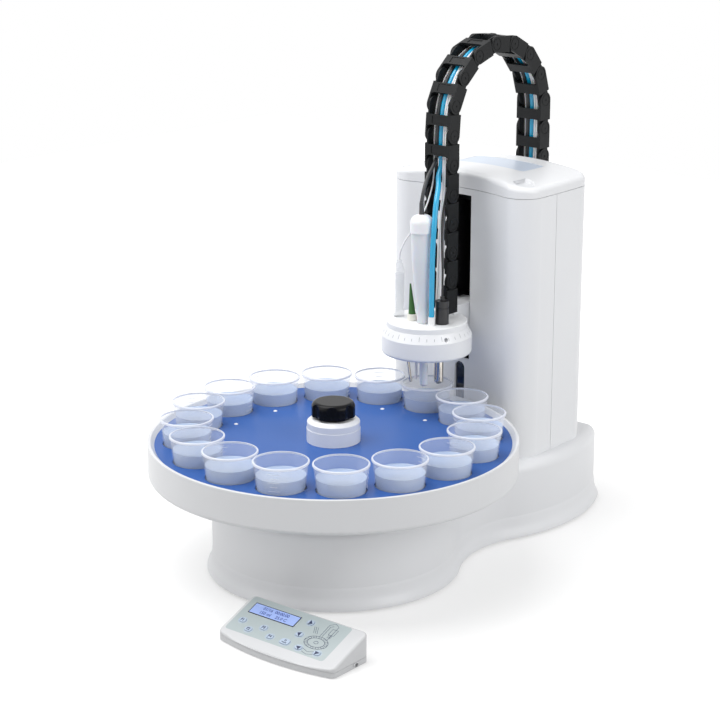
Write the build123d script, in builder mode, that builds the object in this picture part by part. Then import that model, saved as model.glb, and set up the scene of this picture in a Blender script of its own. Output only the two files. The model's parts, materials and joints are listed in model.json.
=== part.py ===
"""A titration autosampler: a turning tray of sixteen beakers, a lift tower with a probe head
on its arm, a cable chain over the tower, and a separate hand keypad.

Millimetres, +Z up. The tray turns about the Z axis, the tower stands towards +Y, and the
rubber feet rest on z = 0.
"""
from build123d import *
from math import atan2, cos, degrees, hypot, pi, radians, sin, sqrt, tan
import os

os.makedirs("parts", exist_ok=True)

# Clearances and helpers that several pieces share
run_fit = 0.05
part_gap = 0.3
thrust_gap = 0.1
overrun = 2
wall = 3
on_base = (Align.CENTER, Align.CENTER, Align.MIN)

# Footprint of the base: a drum in front, a waist and a broad rear body
skirt_bottom = 3
drum_r = 152.8
waist_half = 107
waist_r = 130
rear_half = 133.6
rear_side_r = 230
rear_corner_r = 22
deck_z = 98
shoulder_r = 13
flare_heights = (0, 3, 9, 17, 26)
flare_insets = (0, 0.5, 3.2, 5.6, 6.8)
skirt_inset = flare_insets[-1]
shell_taper_h = 10
deck_under = deck_z - wall

# Base plate, feet and screws
plate_bottom = 4
plate_top = 6
foot_r = 11
foot_stem_r = 3
foot_barb_r = 5
foot_barb_h = 2
foot_ring_r = 118
foot_rear_x = 96
foot_ring_angles = (45, 135, 225, 315)
screw_r = 1.5
screw_head_r = 3.3
screw_head_h = 1.8
screw_length = 20
screw_socket_r = 1.3
boss_r = 5
case_screw_ring_r = 126.5
case_screw_angles = (0, 180, 270)
case_screw_rear_x = 110

# Tray spindle, its housing and the belt drive under the deck
spindle_r = 8
spindle_nose_r = 6
knob_stud_r = 5
spindle_bottom = 41
bush_r = 12
bush_flange_r = 17
bush_length = 14
bush_flange_h = 2.9
housing_bottom = 59
housing_top = 112
housing_r = 22
housing_flange_r = 45
housing_flange_h = 6
housing_screw_ring_r = 36
spindle_flange_r = 30
pulley_tooth_bottom = 44
pulley_tooth_h = 10
pulley_flange_h = 1
driven_teeth = 80
motor_teeth = 16
belt_pitch = 2
tip_inset = 0.254
tooth_groove_r = 0.55
driven_flange_r = 27
motor_flange_r = 7.5
belt_width = 8
belt_thickness = 1.3
motor_side = 42.3
motor_corner = 4
motor_height = 34
motor_end_h = 9
motor_inset = 0.6
motor_boss_r = 11
motor_boss_h = 2
motor_shaft_r = 2.5
motor_x = -80

# Control board and the sockets in the rear wall
board_x = (-60, 60)
board_bottom = 16
board_h = 1.6
post_r = 3.5
socket_z = 52
socket_body_depth = 14
power_socket_x = 40
power_socket_r = 6
keypad_socket_x = 0
keypad_socket_r = 7
data_socket_x = -40
data_socket_w = 12
data_socket_h = 11
socket_rim = 2
socket_bore_r = 3.2

# Tray
tray_r = 220
tray_bottom = 121
tray_floor_h = 3.5
tray_top = 163.2
tray_lip_w = 3.5
tray_edge_r = 5
tray_rim_w = 8
plate_r = tray_r - tray_rim_w
tray_plate_top = 158.5
tray_plate_h = 3
tray_ledge_w = 5
tray_boss_r = 30
tray_pin_edge = 79
tray_pin_ring_r = plate_r - tray_pin_edge
tray_pin_angles = (15, 75, 105, 165, 195, 255, 285, 345)
tray_pin_r = 1.3
tray_pin_head_r = 2.6
tray_pin_head_h = 0.9
tray_pin_depth = 9
tray_pin_boss_r = 5
tray_floor = tray_bottom + tray_floor_h
tray_plate_under = tray_plate_top - tray_plate_h

# Beakers
beaker_edge = 38.7
beaker_ring_r = plate_r - beaker_edge
beaker_gap = 3
beaker_foot_r = 25
beaker_rim_r = 32.2
beaker_count = int(2 * pi * beaker_ring_r / (2 * beaker_rim_r + beaker_gap))
beaker_neck_r = 31.2
beaker_top = 189.8
beaker_rim_h = 2.4
beaker_wall = 1
beaker_foot_corner = 2
plate_hole_r = 28.9

# Hub and knob on the tray
hub_r = 32.1
hub_shoulder_r = 31.5
hub_top_r = 27
hub_top = 186.5
hub_shoulder_h = 4
hub_step_h = 8
hub_step = 0.5
knob_r = 26
knob_top = 207
knob_lobes = 7
knob_scallop_r = 13
knob_scallop_centre_r = 36.5
knob_foot_r = 20.5
knob_foot_h = 2.5
knob_edge_r = 6
knob_socket_depth = 12

# Tower: its plan has a hollow front about the tray axis
tower_gap = 18
tower_front_r = tray_r + tower_gap
tower_half = 110.7
tower_front_corner_r = 28
tower_side_r = 1200
tower_depth = 129
tower_back_y = tower_front_r + tower_depth
tower_back_corner_r = 30
tower_seam_depth = 47
tower_seam_y = tower_front_r + tower_seam_depth
tower_lid_peak = 448
tower_lid_h = 22
tower_crown_h = 10
tower_wall_top = tower_lid_peak - tower_lid_h
tower_lid_edge_z = tower_lid_peak - tower_crown_h
tower_lid_round = 7
lid_seam = 0.6
lid_lip_h = 5
lid_lip_w = 2.5
slot_half = 15
slot_bottom = 208
slot_top_wall = 8
slot_top = tower_wall_top - slot_top_wall
window_slot_half = 7.7
window_slot_bottom = 112
window_slot_top = 203
window_plate_h = 2
window_plate_margin = 4
recess_x = 86
recess_inset = 13
recess_y = tower_front_r + recess_inset
recess_length = 34
recess_width = 22
recess_rise = 0.6
recess_floor = tower_lid_edge_z + recess_rise
recess_depth = 2.4
recess_flare = 3.5
recess_turn = -42
label_inset = 75
label_y = tower_front_r + label_inset
label_w = 108
label_h = 46
label_depth = 0.5
label_corner_r = 5
line_window_half = 14.5
line_window_z = (291, 319)

# Rear of the base, past the tower's back, and what stands in it
rear_margin = 51
rear_y = tower_back_y + rear_margin
foot_rear_inset = 46
foot_rear_y = rear_y - foot_rear_inset
case_screw_rear_inset = 88
case_screw_rear_y = rear_y - case_screw_rear_inset
board_insets = (83, 23)
board_y = (rear_y - board_insets[0], rear_y - board_insets[1])

# Lift column and drive inside the tower
column_half = 34
column_inset = 8
column_front_y = tower_front_r + column_inset
column_depth = 74
column_back_y = column_front_y + column_depth
column_wall = 4
column_top_gap = 4
column_top = tower_wall_top - column_top_gap
column_foot_half = 44
column_foot_h = 4
shelf_h = 6
lower_shelf_z = 176
upper_shelf_drop = 16
upper_shelf_z = column_top - upper_shelf_drop
rod_x = 19
rod_inset = 42
rod_y = column_front_y + rod_inset
rod_r = 4
screw_offset = 4
screw_axis_y = rod_y + screw_offset
lead_screw_r = 4
carriage_half = 27
carriage_reach = (26, 18)
carriage_y = (rod_y - carriage_reach[0], rod_y + carriage_reach[1])
carriage_z = (240, 283)
carriage_bush_r = 6.5
nut_r = 7
nut_flange_r = 10
nut_flange_h = 3

# Lift arm and the head that it carries
arm_half = 14
arm_reach = 30
arm_front_y = tower_front_r - arm_reach
arm_shelf_z = 272
arm_nose_r = 5
head_reach = 66.5
head_y = tower_front_r - head_reach
collar_r = 56.2
collar_bottom = 231
collar_edge = 254
collar_top = 264.7
collar_top_r = 50.5
collar_bore_r = 45
collar_round = 4
set_screw_angle = -24
set_screw_r = 2.6
set_screw_z = 258.5
disc_r = 50
disc_top = 272
disc_h = 16
disc_round = 1.2
disc_under = disc_top - disc_h

# Probes and fittings on the head
electrode_reach = 16.4
electrode_foot = (8.1, head_y - electrode_reach)
electrode_lean = -1.65
electrode_foot_r = 7.25
electrode_body_r = 13
electrode_cap_r = 14.2
electrode_taper_z = 352
electrode_cap_z = 385
electrode_top_z = 407
electrode_stem_r = 5
probe_tip_z = 191.5
electrode_relief_r = 3.2
electrode_relief_top_r = 2.6
connector_reach = 4.2
connector_at = (27.8, head_y - connector_reach)
connector_r = 8.25
connector_top_z = 301
connector_groove_z = 292
connector_groove_h = 1.2
connector_groove_depth = 0.8
connector_relief_r = 2.6
connector_relief_h = 5
plug_reach = 16
plug_at = (-10.1, head_y - plug_reach)
plug_foot_r = 5.6
plug_foot_top = 280
plug_r = 4.4
plug_tip_r = 0.9
plug_tip_z = 318
plug_lean = -4.5
vial_reach = 12.3
vial_at = (-34.2, head_y - vial_reach)
vial_r = 6.75
vial_wall = 0.9
vial_top = 327
vial_cap_steps = (0, 4, 8, 12, 16)
vial_cap_radii = (7.2, 6.2, 5.0, 3.4)
steel_rod_setback = 4.5
steel_rod_at = (16.2, head_y + steel_rod_setback)
steel_rod_r = 5.9
thin_rod_reach = 13.5
thin_rod_top = (-24.6, head_y - thin_rod_reach)
thin_rod_tip = (-13.4, head_y - thin_rod_reach)
thin_rod_r = 1.75
dip_tube_reach = 1.5
dip_tube_y = head_y - dip_tube_reach
dip_tubes = ((-15, dip_tube_y), (-7.7, dip_tube_y))
dip_tube_r = 1.75

# Cable chain: links of equal pitch over the tower
pitch = 36
link_half = 19
link_in_half = 14
tongue_w = 2.2
link_thick_half = 10
link_joint_gap = 0.5
bar_half = 6.5
bar_h = 3
latch_half = 4.5
latch_depth = 0.7
link_pin_r = 3
link_disc_r = 7.5
link_disc_groove = 0.8
link_disc_depth = 0.5
link_eye_r = 1.3
back_limb_gap = 14.25
back_limb_y = tower_back_y + back_limb_gap
first_bend_rise = 71.4
first_bend_z = tower_lid_peak + first_bend_rise
fixed_links = 5
lift_links = 3
first_turn = 18
arch_turn = 22.5
arch_links = 7
last_turn = 4.5
fixed_bracket_h = 24
fixed_flange_w = 8
lift_bracket_bottom = 277

# Lines in the chain, across it and inward or outward of its middle
hose_r = 3.25
grey_cable_r = 2.3
tube_r = 1.5
black_cable_r = 1.3
hose_x = -1.2
grey_cable_x = -8
tube_x = (4.2, 7.6)
tube_in = (-1.9, 1.9)
black_cable_x = 11.6
line_break_z = 468.3
line_break_gap = 0.4
vial_tube_x = -12.2
vial_tube_r = 1
limb_entry_z = 428
line_bend_z = 330
line_slant_y = 348
line_end_z = 285
bend_share = 0.45
line_foot_lift = 0.2
hose_reach = 18.9
hose_foot = (23.2, head_y - hose_reach)
hose_fitting_r = 4.2
hose_fitting_top = 282.5
hose_middle = ((23.4, 152.2, 318), (24.1, 152.2, 362), (23.2, 155.6, 393), (19.4, 164, 423),
               (10, 180, 438), (-0.2, 191.5, 448), (-1.2, 198, 458))
grey_relief_h = 14
grey_cable_middle = ((3, 159.5, 434), (-1, 171, 448), (-6, 189, 460))
black_cable_middle = ((27.2, 168.4, 335), (19, 176, 370), (11.8, 185, 405), (11.6, 197.4, 440))
vial_tube_middle = ((-34, 159.8, 353), (-30, 165, 368), (-20, 176, 387), (-12.6, 186, 411),
                    (-12.2, 197.5, 440))
tube_setback = 9.5
tube_foot = (7, head_y + tube_setback)
tube_foot_step = (4.4, 4.6)
tube_rise_z = (315, 385, 428)
tube_lean = (0.6, 1.5)
tube_drop = (8, 0.8)

# Keypad: its rear edge's middle, its turn on the table and its own sizes
keypad_at = (132, -184.2)
keypad_turn = 2.26
keypad_half = 83
keypad_depth = 60
keypad_bulge = 11
keypad_corner_r = 7
keypad_rear_h = 35
keypad_front_h = 10
keypad_slope_run = 64
keypad_floor = 1
keypad_split_z = 7
keypad_floor_top = 3
keypad_lip_top = 8.6
keypad_foot_r = 5
keypad_foot_x = 70
keypad_foot_y = (-9, -48)
keypad_wall = 2.4
keypad_round = 2.5
overlay_left = -78.5
overlay_right = 63.5
overlay_rear = 3.4
overlay_front = 59
overlay_corner_r = 4
overlay_h = 0.5
lcd_at = (-36.3, -19.6)
lcd_w = 66.5
lcd_h = 16.5
lcd_view_w = 60
lcd_view_h = 12
lcd_glass_drop = 0.8
key_w = 8.6
key_h = 6
pause_w = 12
pause_h = 7.6
key_corner_r = 2.7
key_rise = 1.1
key_travel = 0.5
key_depth = 5
key_round = 0.5
key_places = {
    "key_f1": (-65.8, -41),
    "key_f2": (-49.6, -50.5),
    "key_f3": (-33.9, -41.9),
    "key_f4": (-18.1, -50.4),
    "key_pause": (3.6, -50.4),
    "key_up": (12.2, -14.5),
    "key_down": (11.6, -34.6),
    "key_left": (24, -51.8),
    "key_right": (49.6, -51),
}
keypad_board_under = 8
keypad_board_h = 1.6
keypad_post_r = 2.5
jack_y = -22
jack_z = 3.6
jack_r = 2.6
jack_depth = 7
jack_boss = 5


def on_circle(centre, radius, towards):
    """The point of a circle on the line from its centre towards another point"""
    across, along = towards[0] - centre[0], towards[1] - centre[1]
    reach = hypot(across, along)
    return (centre[0] + radius * across / reach, centre[1] + radius * along / reach)


def swing(centre, radius, start, end):
    """An arc of under half a turn between two points of a circle"""
    chord_middle = ((start[0] + end[0]) / 2, (start[1] + end[1]) / 2)
    ThreePointArc(start, on_circle(centre, radius, chord_middle), end)


def post(radius, bottom, top, places=((0, 0),), mode=Mode.ADD):
    """A round bar, or a round hole, from one height to another at each place"""
    with Locations(*[(x, y, bottom) for x, y in places]):
        Cylinder(radius, top - bottom, align=on_base, mode=mode)


def block(x_span, y_span, z_span, mode=Mode.ADD):
    """A box between two limits along each axis"""
    middle = ((x_span[0] + x_span[1]) / 2, (y_span[0] + y_span[1]) / 2, z_span[0])
    with Locations(middle):
        Box(x_span[1] - x_span[0], y_span[1] - y_span[0], z_span[1] - z_span[0],
            align=on_base, mode=mode)


def upright(at, lean=0, height=0):
    """A plane whose X is the radius and Y the axis of a piece that leans about +Y by an angle"""
    tilt = radians(lean)
    return Plane(origin=(at[0], at[1], height), x_dir=(cos(tilt), 0, -sin(tilt)), z_dir=(0, -1, 0))


def turned(profile, at=(0, 0), lean=0, height=0, mode=Mode.ADD):
    """A turned piece from points of radius and height, on its own axis"""
    plane = upright(at, lean, height)
    with BuildSketch(plane) as half:
        with BuildLine():
            Polyline(*profile, close=True)
        make_face()
    revolve(half.sketch, axis=Axis(plane.origin, plane.y_dir), mode=mode)


def ring_places(radius, angles):
    return [(radius * cos(radians(angle)), radius * sin(radians(angle))) for angle in angles]


# Base housing
waist_centre = (waist_half + waist_r, sqrt((drum_r + waist_r) ** 2 - (waist_half + waist_r) ** 2))
side_x = rear_half - rear_side_r
side_centre = (side_x, waist_centre[1]
               + sqrt((rear_side_r + waist_r) ** 2 - (waist_centre[0] - side_x) ** 2))
corner_y = rear_y - rear_corner_r
corner_centre = (side_x + sqrt((rear_side_r - rear_corner_r) ** 2
                               - (corner_y - side_centre[1]) ** 2), corner_y)


def footprint(inset, height):
    """The keyhole outline of the base, drawn in by an inset, at a height"""
    front = (0, -(drum_r - inset))
    drum_end = on_circle((0, 0), drum_r - inset, waist_centre)
    side_start = on_circle(side_centre, rear_side_r - inset, waist_centre)
    side_end = on_circle(corner_centre, inset - rear_corner_r, side_centre)
    corner_end = (corner_centre[0], rear_y - inset)
    with BuildSketch(Plane.XY.offset(height)) as outline:
        with BuildLine():
            swing((0, 0), drum_r - inset, front, drum_end)
            swing(waist_centre, waist_r + inset, drum_end, side_start)
            swing(side_centre, rear_side_r - inset, side_start, side_end)
            swing(corner_centre, rear_corner_r - inset, side_end, corner_end)
            Line(corner_end, (0, corner_end[1]))
            mirror(about=Plane.YZ)
        make_face()
    return outline.sketch


case_screws_at = ring_places(case_screw_ring_r, case_screw_angles) + [
    (case_screw_rear_x, case_screw_rear_y), (-case_screw_rear_x, case_screw_rear_y)]
board_screws_at = [(x, y) for x in (board_x[0] + boss_r, board_x[1] - boss_r)
                   for y in (board_y[0] + boss_r, board_y[1] - boss_r)]
housing_screws_at = ring_places(housing_screw_ring_r, foot_ring_angles)
column_hole_x = column_half + part_gap
rear_wall_y = rear_y - skirt_inset

with BuildPart() as base_housing:
    skirt_sections = [footprint(inset, skirt_bottom + rise)
                      for inset, rise in zip(flare_insets, flare_heights)]
    loft(skirt_sections)
    skirt_top = skirt_bottom + flare_heights[-1]
    extrude(footprint(skirt_inset, skirt_top), amount=deck_z - skirt_top)
    top_face = base_housing.faces().filter_by(Axis.Z).sort_by(Axis.Z)[-1]
    fillet(top_face.outer_wire().edges(), shoulder_r)
    cavity_straight = deck_under - shell_taper_h
    extrude(footprint(skirt_inset + wall, skirt_bottom), amount=cavity_straight - skirt_bottom,
            mode=Mode.SUBTRACT)
    loft([footprint(skirt_inset + wall, cavity_straight),
          footprint(skirt_inset + wall + shell_taper_h, deck_under)], ruled=True,
         mode=Mode.SUBTRACT)
    post(boss_r, plate_top, deck_under, case_screws_at)
    post(screw_r + run_fit, plate_top, plate_top + screw_length, case_screws_at, Mode.SUBTRACT)
    post(housing_r + part_gap, deck_under - overrun, deck_z + overrun, mode=Mode.SUBTRACT)
    post(screw_r + run_fit, deck_under - overrun, deck_z + overrun, housing_screws_at,
         Mode.SUBTRACT)
    block((-column_hole_x, column_hole_x),
          (column_front_y - part_gap, column_back_y + part_gap),
          (deck_under - overrun, deck_z + overrun), Mode.SUBTRACT)
    with BuildSketch(Plane.XZ.offset(-rear_wall_y - overrun)) as socket_holes:
        with Locations((power_socket_x, socket_z)):
            Circle(power_socket_r)
        with Locations((keypad_socket_x, socket_z)):
            Circle(keypad_socket_r)
        with Locations((data_socket_x, socket_z)):
            Rectangle(data_socket_w, data_socket_h)
    extrude(amount=wall + 2 * overrun, mode=Mode.SUBTRACT)
base_housing.part.label = "base_housing"
export_step(base_housing.part, "parts/base_housing.step")

# Base plate, feet and screws
feet_at = [(0, 0)] + ring_places(foot_ring_r, foot_ring_angles[2:]) + ring_places(
    foot_ring_r, foot_ring_angles[:2]) + [(foot_rear_x, foot_rear_y), (-foot_rear_x, foot_rear_y)]
with BuildPart() as base_plate:
    extrude(footprint(skirt_inset + wall + part_gap, plate_bottom),
            amount=plate_top - plate_bottom)
    post(foot_stem_r + thrust_gap, plate_bottom - overrun, plate_top + overrun, feet_at,
         Mode.SUBTRACT)
    post(screw_r + thrust_gap, plate_bottom - overrun, plate_top + overrun, case_screws_at,
         Mode.SUBTRACT)
base_plate.part.label = "base_plate"
export_step(base_plate.part, "parts/base_plate.step")

with BuildPart() as rubber_feet:
    for place in feet_at:
        barb_top = plate_top + foot_barb_h
        turned([(0, 0), (foot_r - plate_top + plate_bottom, 0), (foot_r, plate_bottom),
                (foot_stem_r, plate_bottom), (foot_stem_r, plate_top), (foot_barb_r, plate_top),
                (foot_stem_r, barb_top), (0, barb_top)], place)
rubber_feet.part.label = "rubber_feet"
export_step(rubber_feet.part, "parts/rubber_feet.step")


def pan_screw(at, seat, length, up):
    """A pan-head screw whose shank goes up or down from its seat"""
    way = 1 if up else -1
    tip = seat + way * length
    head = seat - way * screw_head_h
    socket = seat - way * screw_head_h / 2
    turned([(screw_socket_r, socket), (0, socket), (0, tip), (screw_r, tip), (screw_r, seat),
            (screw_head_r, seat), (screw_head_r, socket), (screw_head_r - screw_r / 2, head),
            (screw_socket_r, head)], at)


with BuildPart() as case_screws:
    for place in case_screws_at:
        pan_screw(place, plate_bottom, screw_length, True)
    for place in housing_screws_at:
        pan_screw(place, deck_z + housing_flange_h, housing_flange_h + wall, False)
case_screws.part.label = "case_screws"
export_step(case_screws.part, "parts/case_screws.step")

# Tray spindle, bushes and housing
housing_flange_top = deck_z + housing_flange_h
with BuildPart() as spindle_housing:
    turned([(bush_r, housing_bottom), (housing_r, housing_bottom), (housing_r, deck_z),
            (housing_flange_r, deck_z), (housing_flange_r, housing_flange_top),
            (housing_r, housing_flange_top), (housing_r, housing_top), (bush_r, housing_top)])
    post(screw_r + run_fit, deck_z - overrun, housing_flange_top + overrun, housing_screws_at,
         Mode.SUBTRACT)
spindle_housing.part.label = "spindle_housing"
export_step(spindle_housing.part, "parts/spindle_housing.step")

bush_bore_r = spindle_r + run_fit
with BuildPart() as spindle_bushes:
    for mouth, way in ((housing_top, 1), (housing_bottom, -1)):
        flange_face = mouth + way * bush_flange_h
        inner_end = mouth - way * bush_length
        turned([(bush_bore_r, inner_end), (bush_r, inner_end), (bush_r, mouth),
                (bush_flange_r, mouth), (bush_flange_r, flange_face), (bush_bore_r, flange_face)])
spindle_bushes.part.label = "spindle_bushes"
export_step(spindle_bushes.part, "parts/spindle_bushes.step")

spindle_flange_bottom = housing_top + bush_flange_h + thrust_gap
stud_start = hub_top - knob_socket_depth
stud_top = hub_top + knob_socket_depth
with BuildPart() as tray_spindle:
    turned([(0, spindle_bottom), (spindle_r, spindle_bottom), (spindle_r, spindle_flange_bottom),
            (spindle_flange_r, spindle_flange_bottom), (spindle_flange_r, tray_bottom),
            (spindle_nose_r, tray_bottom), (spindle_nose_r, stud_start), (knob_stud_r, stud_start),
            (knob_stud_r, stud_top), (0, stud_top)])
tray_spindle.part.label = "tray_spindle"
export_step(tray_spindle.part, "parts/tray_spindle.step")

# Belt drive
tooth_top = pulley_tooth_bottom + pulley_tooth_h
driven_r = driven_teeth * belt_pitch / pi / 2 - tip_inset
pinion_r = motor_teeth * belt_pitch / pi / 2 - tip_inset


def toothed_pulley(at, teeth, tip_r, flange_r, bore_r):
    """A belt pulley: a toothed drum between two thin flanges"""
    with BuildSketch(Plane.XY.offset(pulley_tooth_bottom)) as drum:
        with Locations(at):
            Circle(tip_r)
            with PolarLocations(tip_r, teeth):
                Circle(tooth_groove_r, mode=Mode.SUBTRACT)
    extrude(drum.sketch, amount=pulley_tooth_h)
    post(flange_r, pulley_tooth_bottom - pulley_flange_h, pulley_tooth_bottom, [at])
    post(flange_r, tooth_top, tooth_top + pulley_flange_h, [at])
    post(bore_r, pulley_tooth_bottom - overrun, tooth_top + overrun, [at], Mode.SUBTRACT)


with BuildPart() as driven_pulley:
    toothed_pulley((0, 0), driven_teeth, driven_r, driven_flange_r, spindle_r)
driven_pulley.part.label = "driven_pulley"
export_step(driven_pulley.part, "parts/driven_pulley.step")

motor_at = (motor_x, 0)
motor_top = plate_top + motor_height
shaft_bottom = motor_top - motor_end_h
with BuildPart() as motor_pulley:
    toothed_pulley(motor_at, motor_teeth, pinion_r, motor_flange_r, motor_shaft_r)
    post(motor_shaft_r, shaft_bottom, tooth_top + pulley_flange_h, [motor_at])
motor_pulley.part.label = "motor_pulley"
export_step(motor_pulley.part, "parts/motor_pulley.step")


def stepper(at, bottom):
    """A square stepping motor with end caps, a pilot boss and a shaft hole, standing up"""
    end_z = bottom + motor_end_h
    cap_z = bottom + motor_height - motor_end_h
    top = bottom + motor_height
    for low, high, trim in ((bottom, end_z, 0), (end_z, cap_z, motor_inset), (cap_z, top, 0)):
        with BuildSketch(Plane.XY.offset(low)) as section:
            with Locations(at):
                Rectangle(motor_side - 2 * trim, motor_side - 2 * trim)
            chamfer(section.vertices(), motor_corner)
        extrude(section.sketch, amount=high - low)
    post(motor_boss_r, top, top + motor_boss_h, [at])
    post(motor_shaft_r + run_fit, cap_z - thrust_gap, top + motor_boss_h, [at], Mode.SUBTRACT)


with BuildPart() as tray_motor:
    stepper(motor_at, plate_top)
tray_motor.part.label = "tray_motor"
export_step(tray_motor.part, "parts/tray_motor.step")

belt_bottom = pulley_tooth_bottom + (pulley_tooth_h - belt_width) / 2
with BuildPart() as drive_belt:
    for thickness, mode in ((belt_thickness, Mode.ADD), (0, Mode.SUBTRACT)):
        with BuildSketch(Plane.XY.offset(belt_bottom)) as loop:
            Circle(driven_r + thrust_gap + thickness)
            with Locations(motor_at):
                Circle(pinion_r + thrust_gap + thickness)
            make_hull()
        extrude(loop.sketch, amount=belt_width, mode=mode)
drive_belt.part.label = "drive_belt"
export_step(drive_belt.part, "parts/drive_belt.step")

# Control board on posts, and the sockets in the rear wall
board_top = board_bottom + board_h
chip_h = 2
chip_shares = ((0.3, 0.5, 0.16), (0.6, 0.6, 0.12), (0.75, 0.35, 0.1))
with BuildPart() as control_board:
    block(board_x, board_y, (board_bottom, board_top))
    post(post_r, plate_top, board_bottom, board_screws_at)
    for share_x, share_y, share_w in chip_shares:
        chip_x = board_x[0] + share_x * (board_x[1] - board_x[0])
        chip_y = board_y[0] + share_y * (board_y[1] - board_y[0])
        chip_half = share_w * (board_x[1] - board_x[0]) / 2
        block((chip_x - chip_half, chip_x + chip_half), (chip_y - chip_half, chip_y + chip_half),
              (board_top, board_top + chip_h))
control_board.part.label = "control_board"
export_step(control_board.part, "parts/control_board.step")

with BuildPart() as rear_sockets:
    for x, radius in ((power_socket_x, power_socket_r), (keypad_socket_x, keypad_socket_r)):
        with BuildSketch(Plane.XZ.offset(-rear_wall_y)) as barrel:
            with Locations((x, socket_z)):
                Circle(radius)
                Circle(socket_bore_r, mode=Mode.SUBTRACT)
        extrude(barrel.sketch, amount=socket_body_depth)
        with BuildSketch(Plane.XZ.offset(-rear_wall_y + socket_body_depth)) as back:
            with Locations((x, socket_z)):
                Circle(radius)
        extrude(back.sketch, amount=socket_rim)
    with BuildSketch(Plane.XZ.offset(-rear_wall_y)) as shell:
        with Locations((data_socket_x, socket_z)):
            Rectangle(data_socket_w, data_socket_h)
            Rectangle(data_socket_w - socket_rim, data_socket_h - socket_rim, mode=Mode.SUBTRACT)
    extrude(shell.sketch, amount=socket_body_depth)
    with BuildSketch(Plane.XZ.offset(-rear_wall_y + socket_body_depth)) as data_back:
        with Locations((data_socket_x, socket_z)):
            Rectangle(data_socket_w, data_socket_h)
    extrude(data_back.sketch, amount=socket_rim)
rear_sockets.part.label = "rear_sockets"
export_step(rear_sockets.part, "parts/rear_sockets.step")

# Tray: a turned pan with a ledge for its plate, a centre boss and screw bosses
rim_inner_r = tray_r - tray_lip_w
ledge_r = plate_r - tray_ledge_w
tray_pins_at = ring_places(tray_pin_ring_r, tray_pin_angles)
with BuildPart() as tray:
    turned([(0, tray_bottom), (tray_r, tray_bottom), (tray_r, tray_top), (rim_inner_r, tray_top),
            (plate_r, tray_plate_top), (plate_r, tray_plate_under), (ledge_r, tray_plate_under),
            (ledge_r, tray_floor), (tray_boss_r, tray_floor), (tray_boss_r, tray_plate_under),
            (0, tray_plate_under)])
    fillet(tray.edges().filter_by(GeomType.CIRCLE).group_by(Axis.Z)[0].sort_by(SortBy.RADIUS)[-1],
           tray_edge_r)
    rim_edges = tray.edges().filter_by(GeomType.CIRCLE).group_by(Axis.Z)[-1]
    fillet(rim_edges, tray_lip_w / 4)
    post(tray_pin_boss_r, tray_floor, tray_plate_under, tray_pins_at)
    post(tray_pin_r, tray_plate_top - tray_pin_depth, tray_plate_under, tray_pins_at,
         Mode.SUBTRACT)
    post(spindle_nose_r, tray_bottom - overrun, tray_plate_top, mode=Mode.SUBTRACT)
tray.part.label = "tray"
export_step(tray.part, "parts/tray.step")

with BuildPart() as tray_plate:
    post(plate_r, tray_plate_under, tray_plate_top)
    with PolarLocations(beaker_ring_r, beaker_count):
        with Locations((0, 0, tray_plate_under - overrun)):
            Cylinder(plate_hole_r, tray_plate_h + 2 * overrun, align=on_base,
                     mode=Mode.SUBTRACT)
    post(spindle_nose_r, tray_plate_under - overrun, tray_plate_top + overrun,
         mode=Mode.SUBTRACT)
    post(tray_pin_r, tray_plate_under - overrun, tray_plate_top + overrun, tray_pins_at,
         Mode.SUBTRACT)
tray_plate.part.label = "tray_plate"
export_step(tray_plate.part, "parts/tray_plate.step")

with BuildPart() as plate_pins:
    for place in tray_pins_at:
        head_top = tray_plate_top + tray_pin_head_h
        turned([(0, tray_plate_top - tray_pin_depth), (tray_pin_r, tray_plate_top - tray_pin_depth),
                (tray_pin_r, tray_plate_top), (tray_pin_head_r, tray_plate_top),
                (tray_pin_r, head_top), (0, head_top)], place)
plate_pins.part.label = "plate_pins"
export_step(plate_pins.part, "parts/plate_pins.step")

# Beakers: thin tapered cups with a rolled rim, standing on the tray's floor
rim_bottom = beaker_top - beaker_rim_h
with BuildPart() as sample_beakers:
    inner_floor = tray_floor + beaker_wall
    inner_foot_r = beaker_foot_r - beaker_wall
    inner_top_r = beaker_neck_r - beaker_wall
    for index in range(beaker_count):
        place = ring_places(beaker_ring_r, [index * 360 / beaker_count])[0]
        turned([(0, tray_floor), (beaker_foot_r - beaker_foot_corner, tray_floor),
                (beaker_foot_r, tray_floor + beaker_foot_corner), (beaker_neck_r, rim_bottom),
                (beaker_rim_r, rim_bottom), (beaker_rim_r, beaker_top - beaker_wall / 2),
                (beaker_rim_r - beaker_wall / 2, beaker_top), (inner_top_r, beaker_top),
                (inner_foot_r, inner_floor + beaker_wall), (inner_foot_r - beaker_wall, inner_floor),
                (0, inner_floor)], place)
sample_beakers.part.label = "sample_beakers"
export_step(sample_beakers.part, "parts/sample_beakers.step")

# Hub and clamp knob
shoulder_z = hub_top - hub_shoulder_h
step_z = shoulder_z - hub_step_h
with BuildPart() as tray_hub:
    turned([(0, tray_plate_top), (hub_r, tray_plate_top), (hub_shoulder_r + hub_step, step_z),
            (hub_shoulder_r, step_z), (hub_shoulder_r, shoulder_z), (hub_top_r, hub_top),
            (0, hub_top)])
    shoulder_edges = tray_hub.edges().filter_by(GeomType.CIRCLE).sort_by(Axis.Z)
    fillet([edge for edge in shoulder_edges if edge.center().Z > step_z + part_gap],
           hub_shoulder_h / 3)
    post(spindle_nose_r, tray_plate_top - overrun, stud_start, mode=Mode.SUBTRACT)
    post(knob_stud_r + run_fit, stud_start - overrun, hub_top + overrun, mode=Mode.SUBTRACT)
tray_hub.part.label = "tray_hub"
export_step(tray_hub.part, "parts/tray_hub.step")

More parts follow.
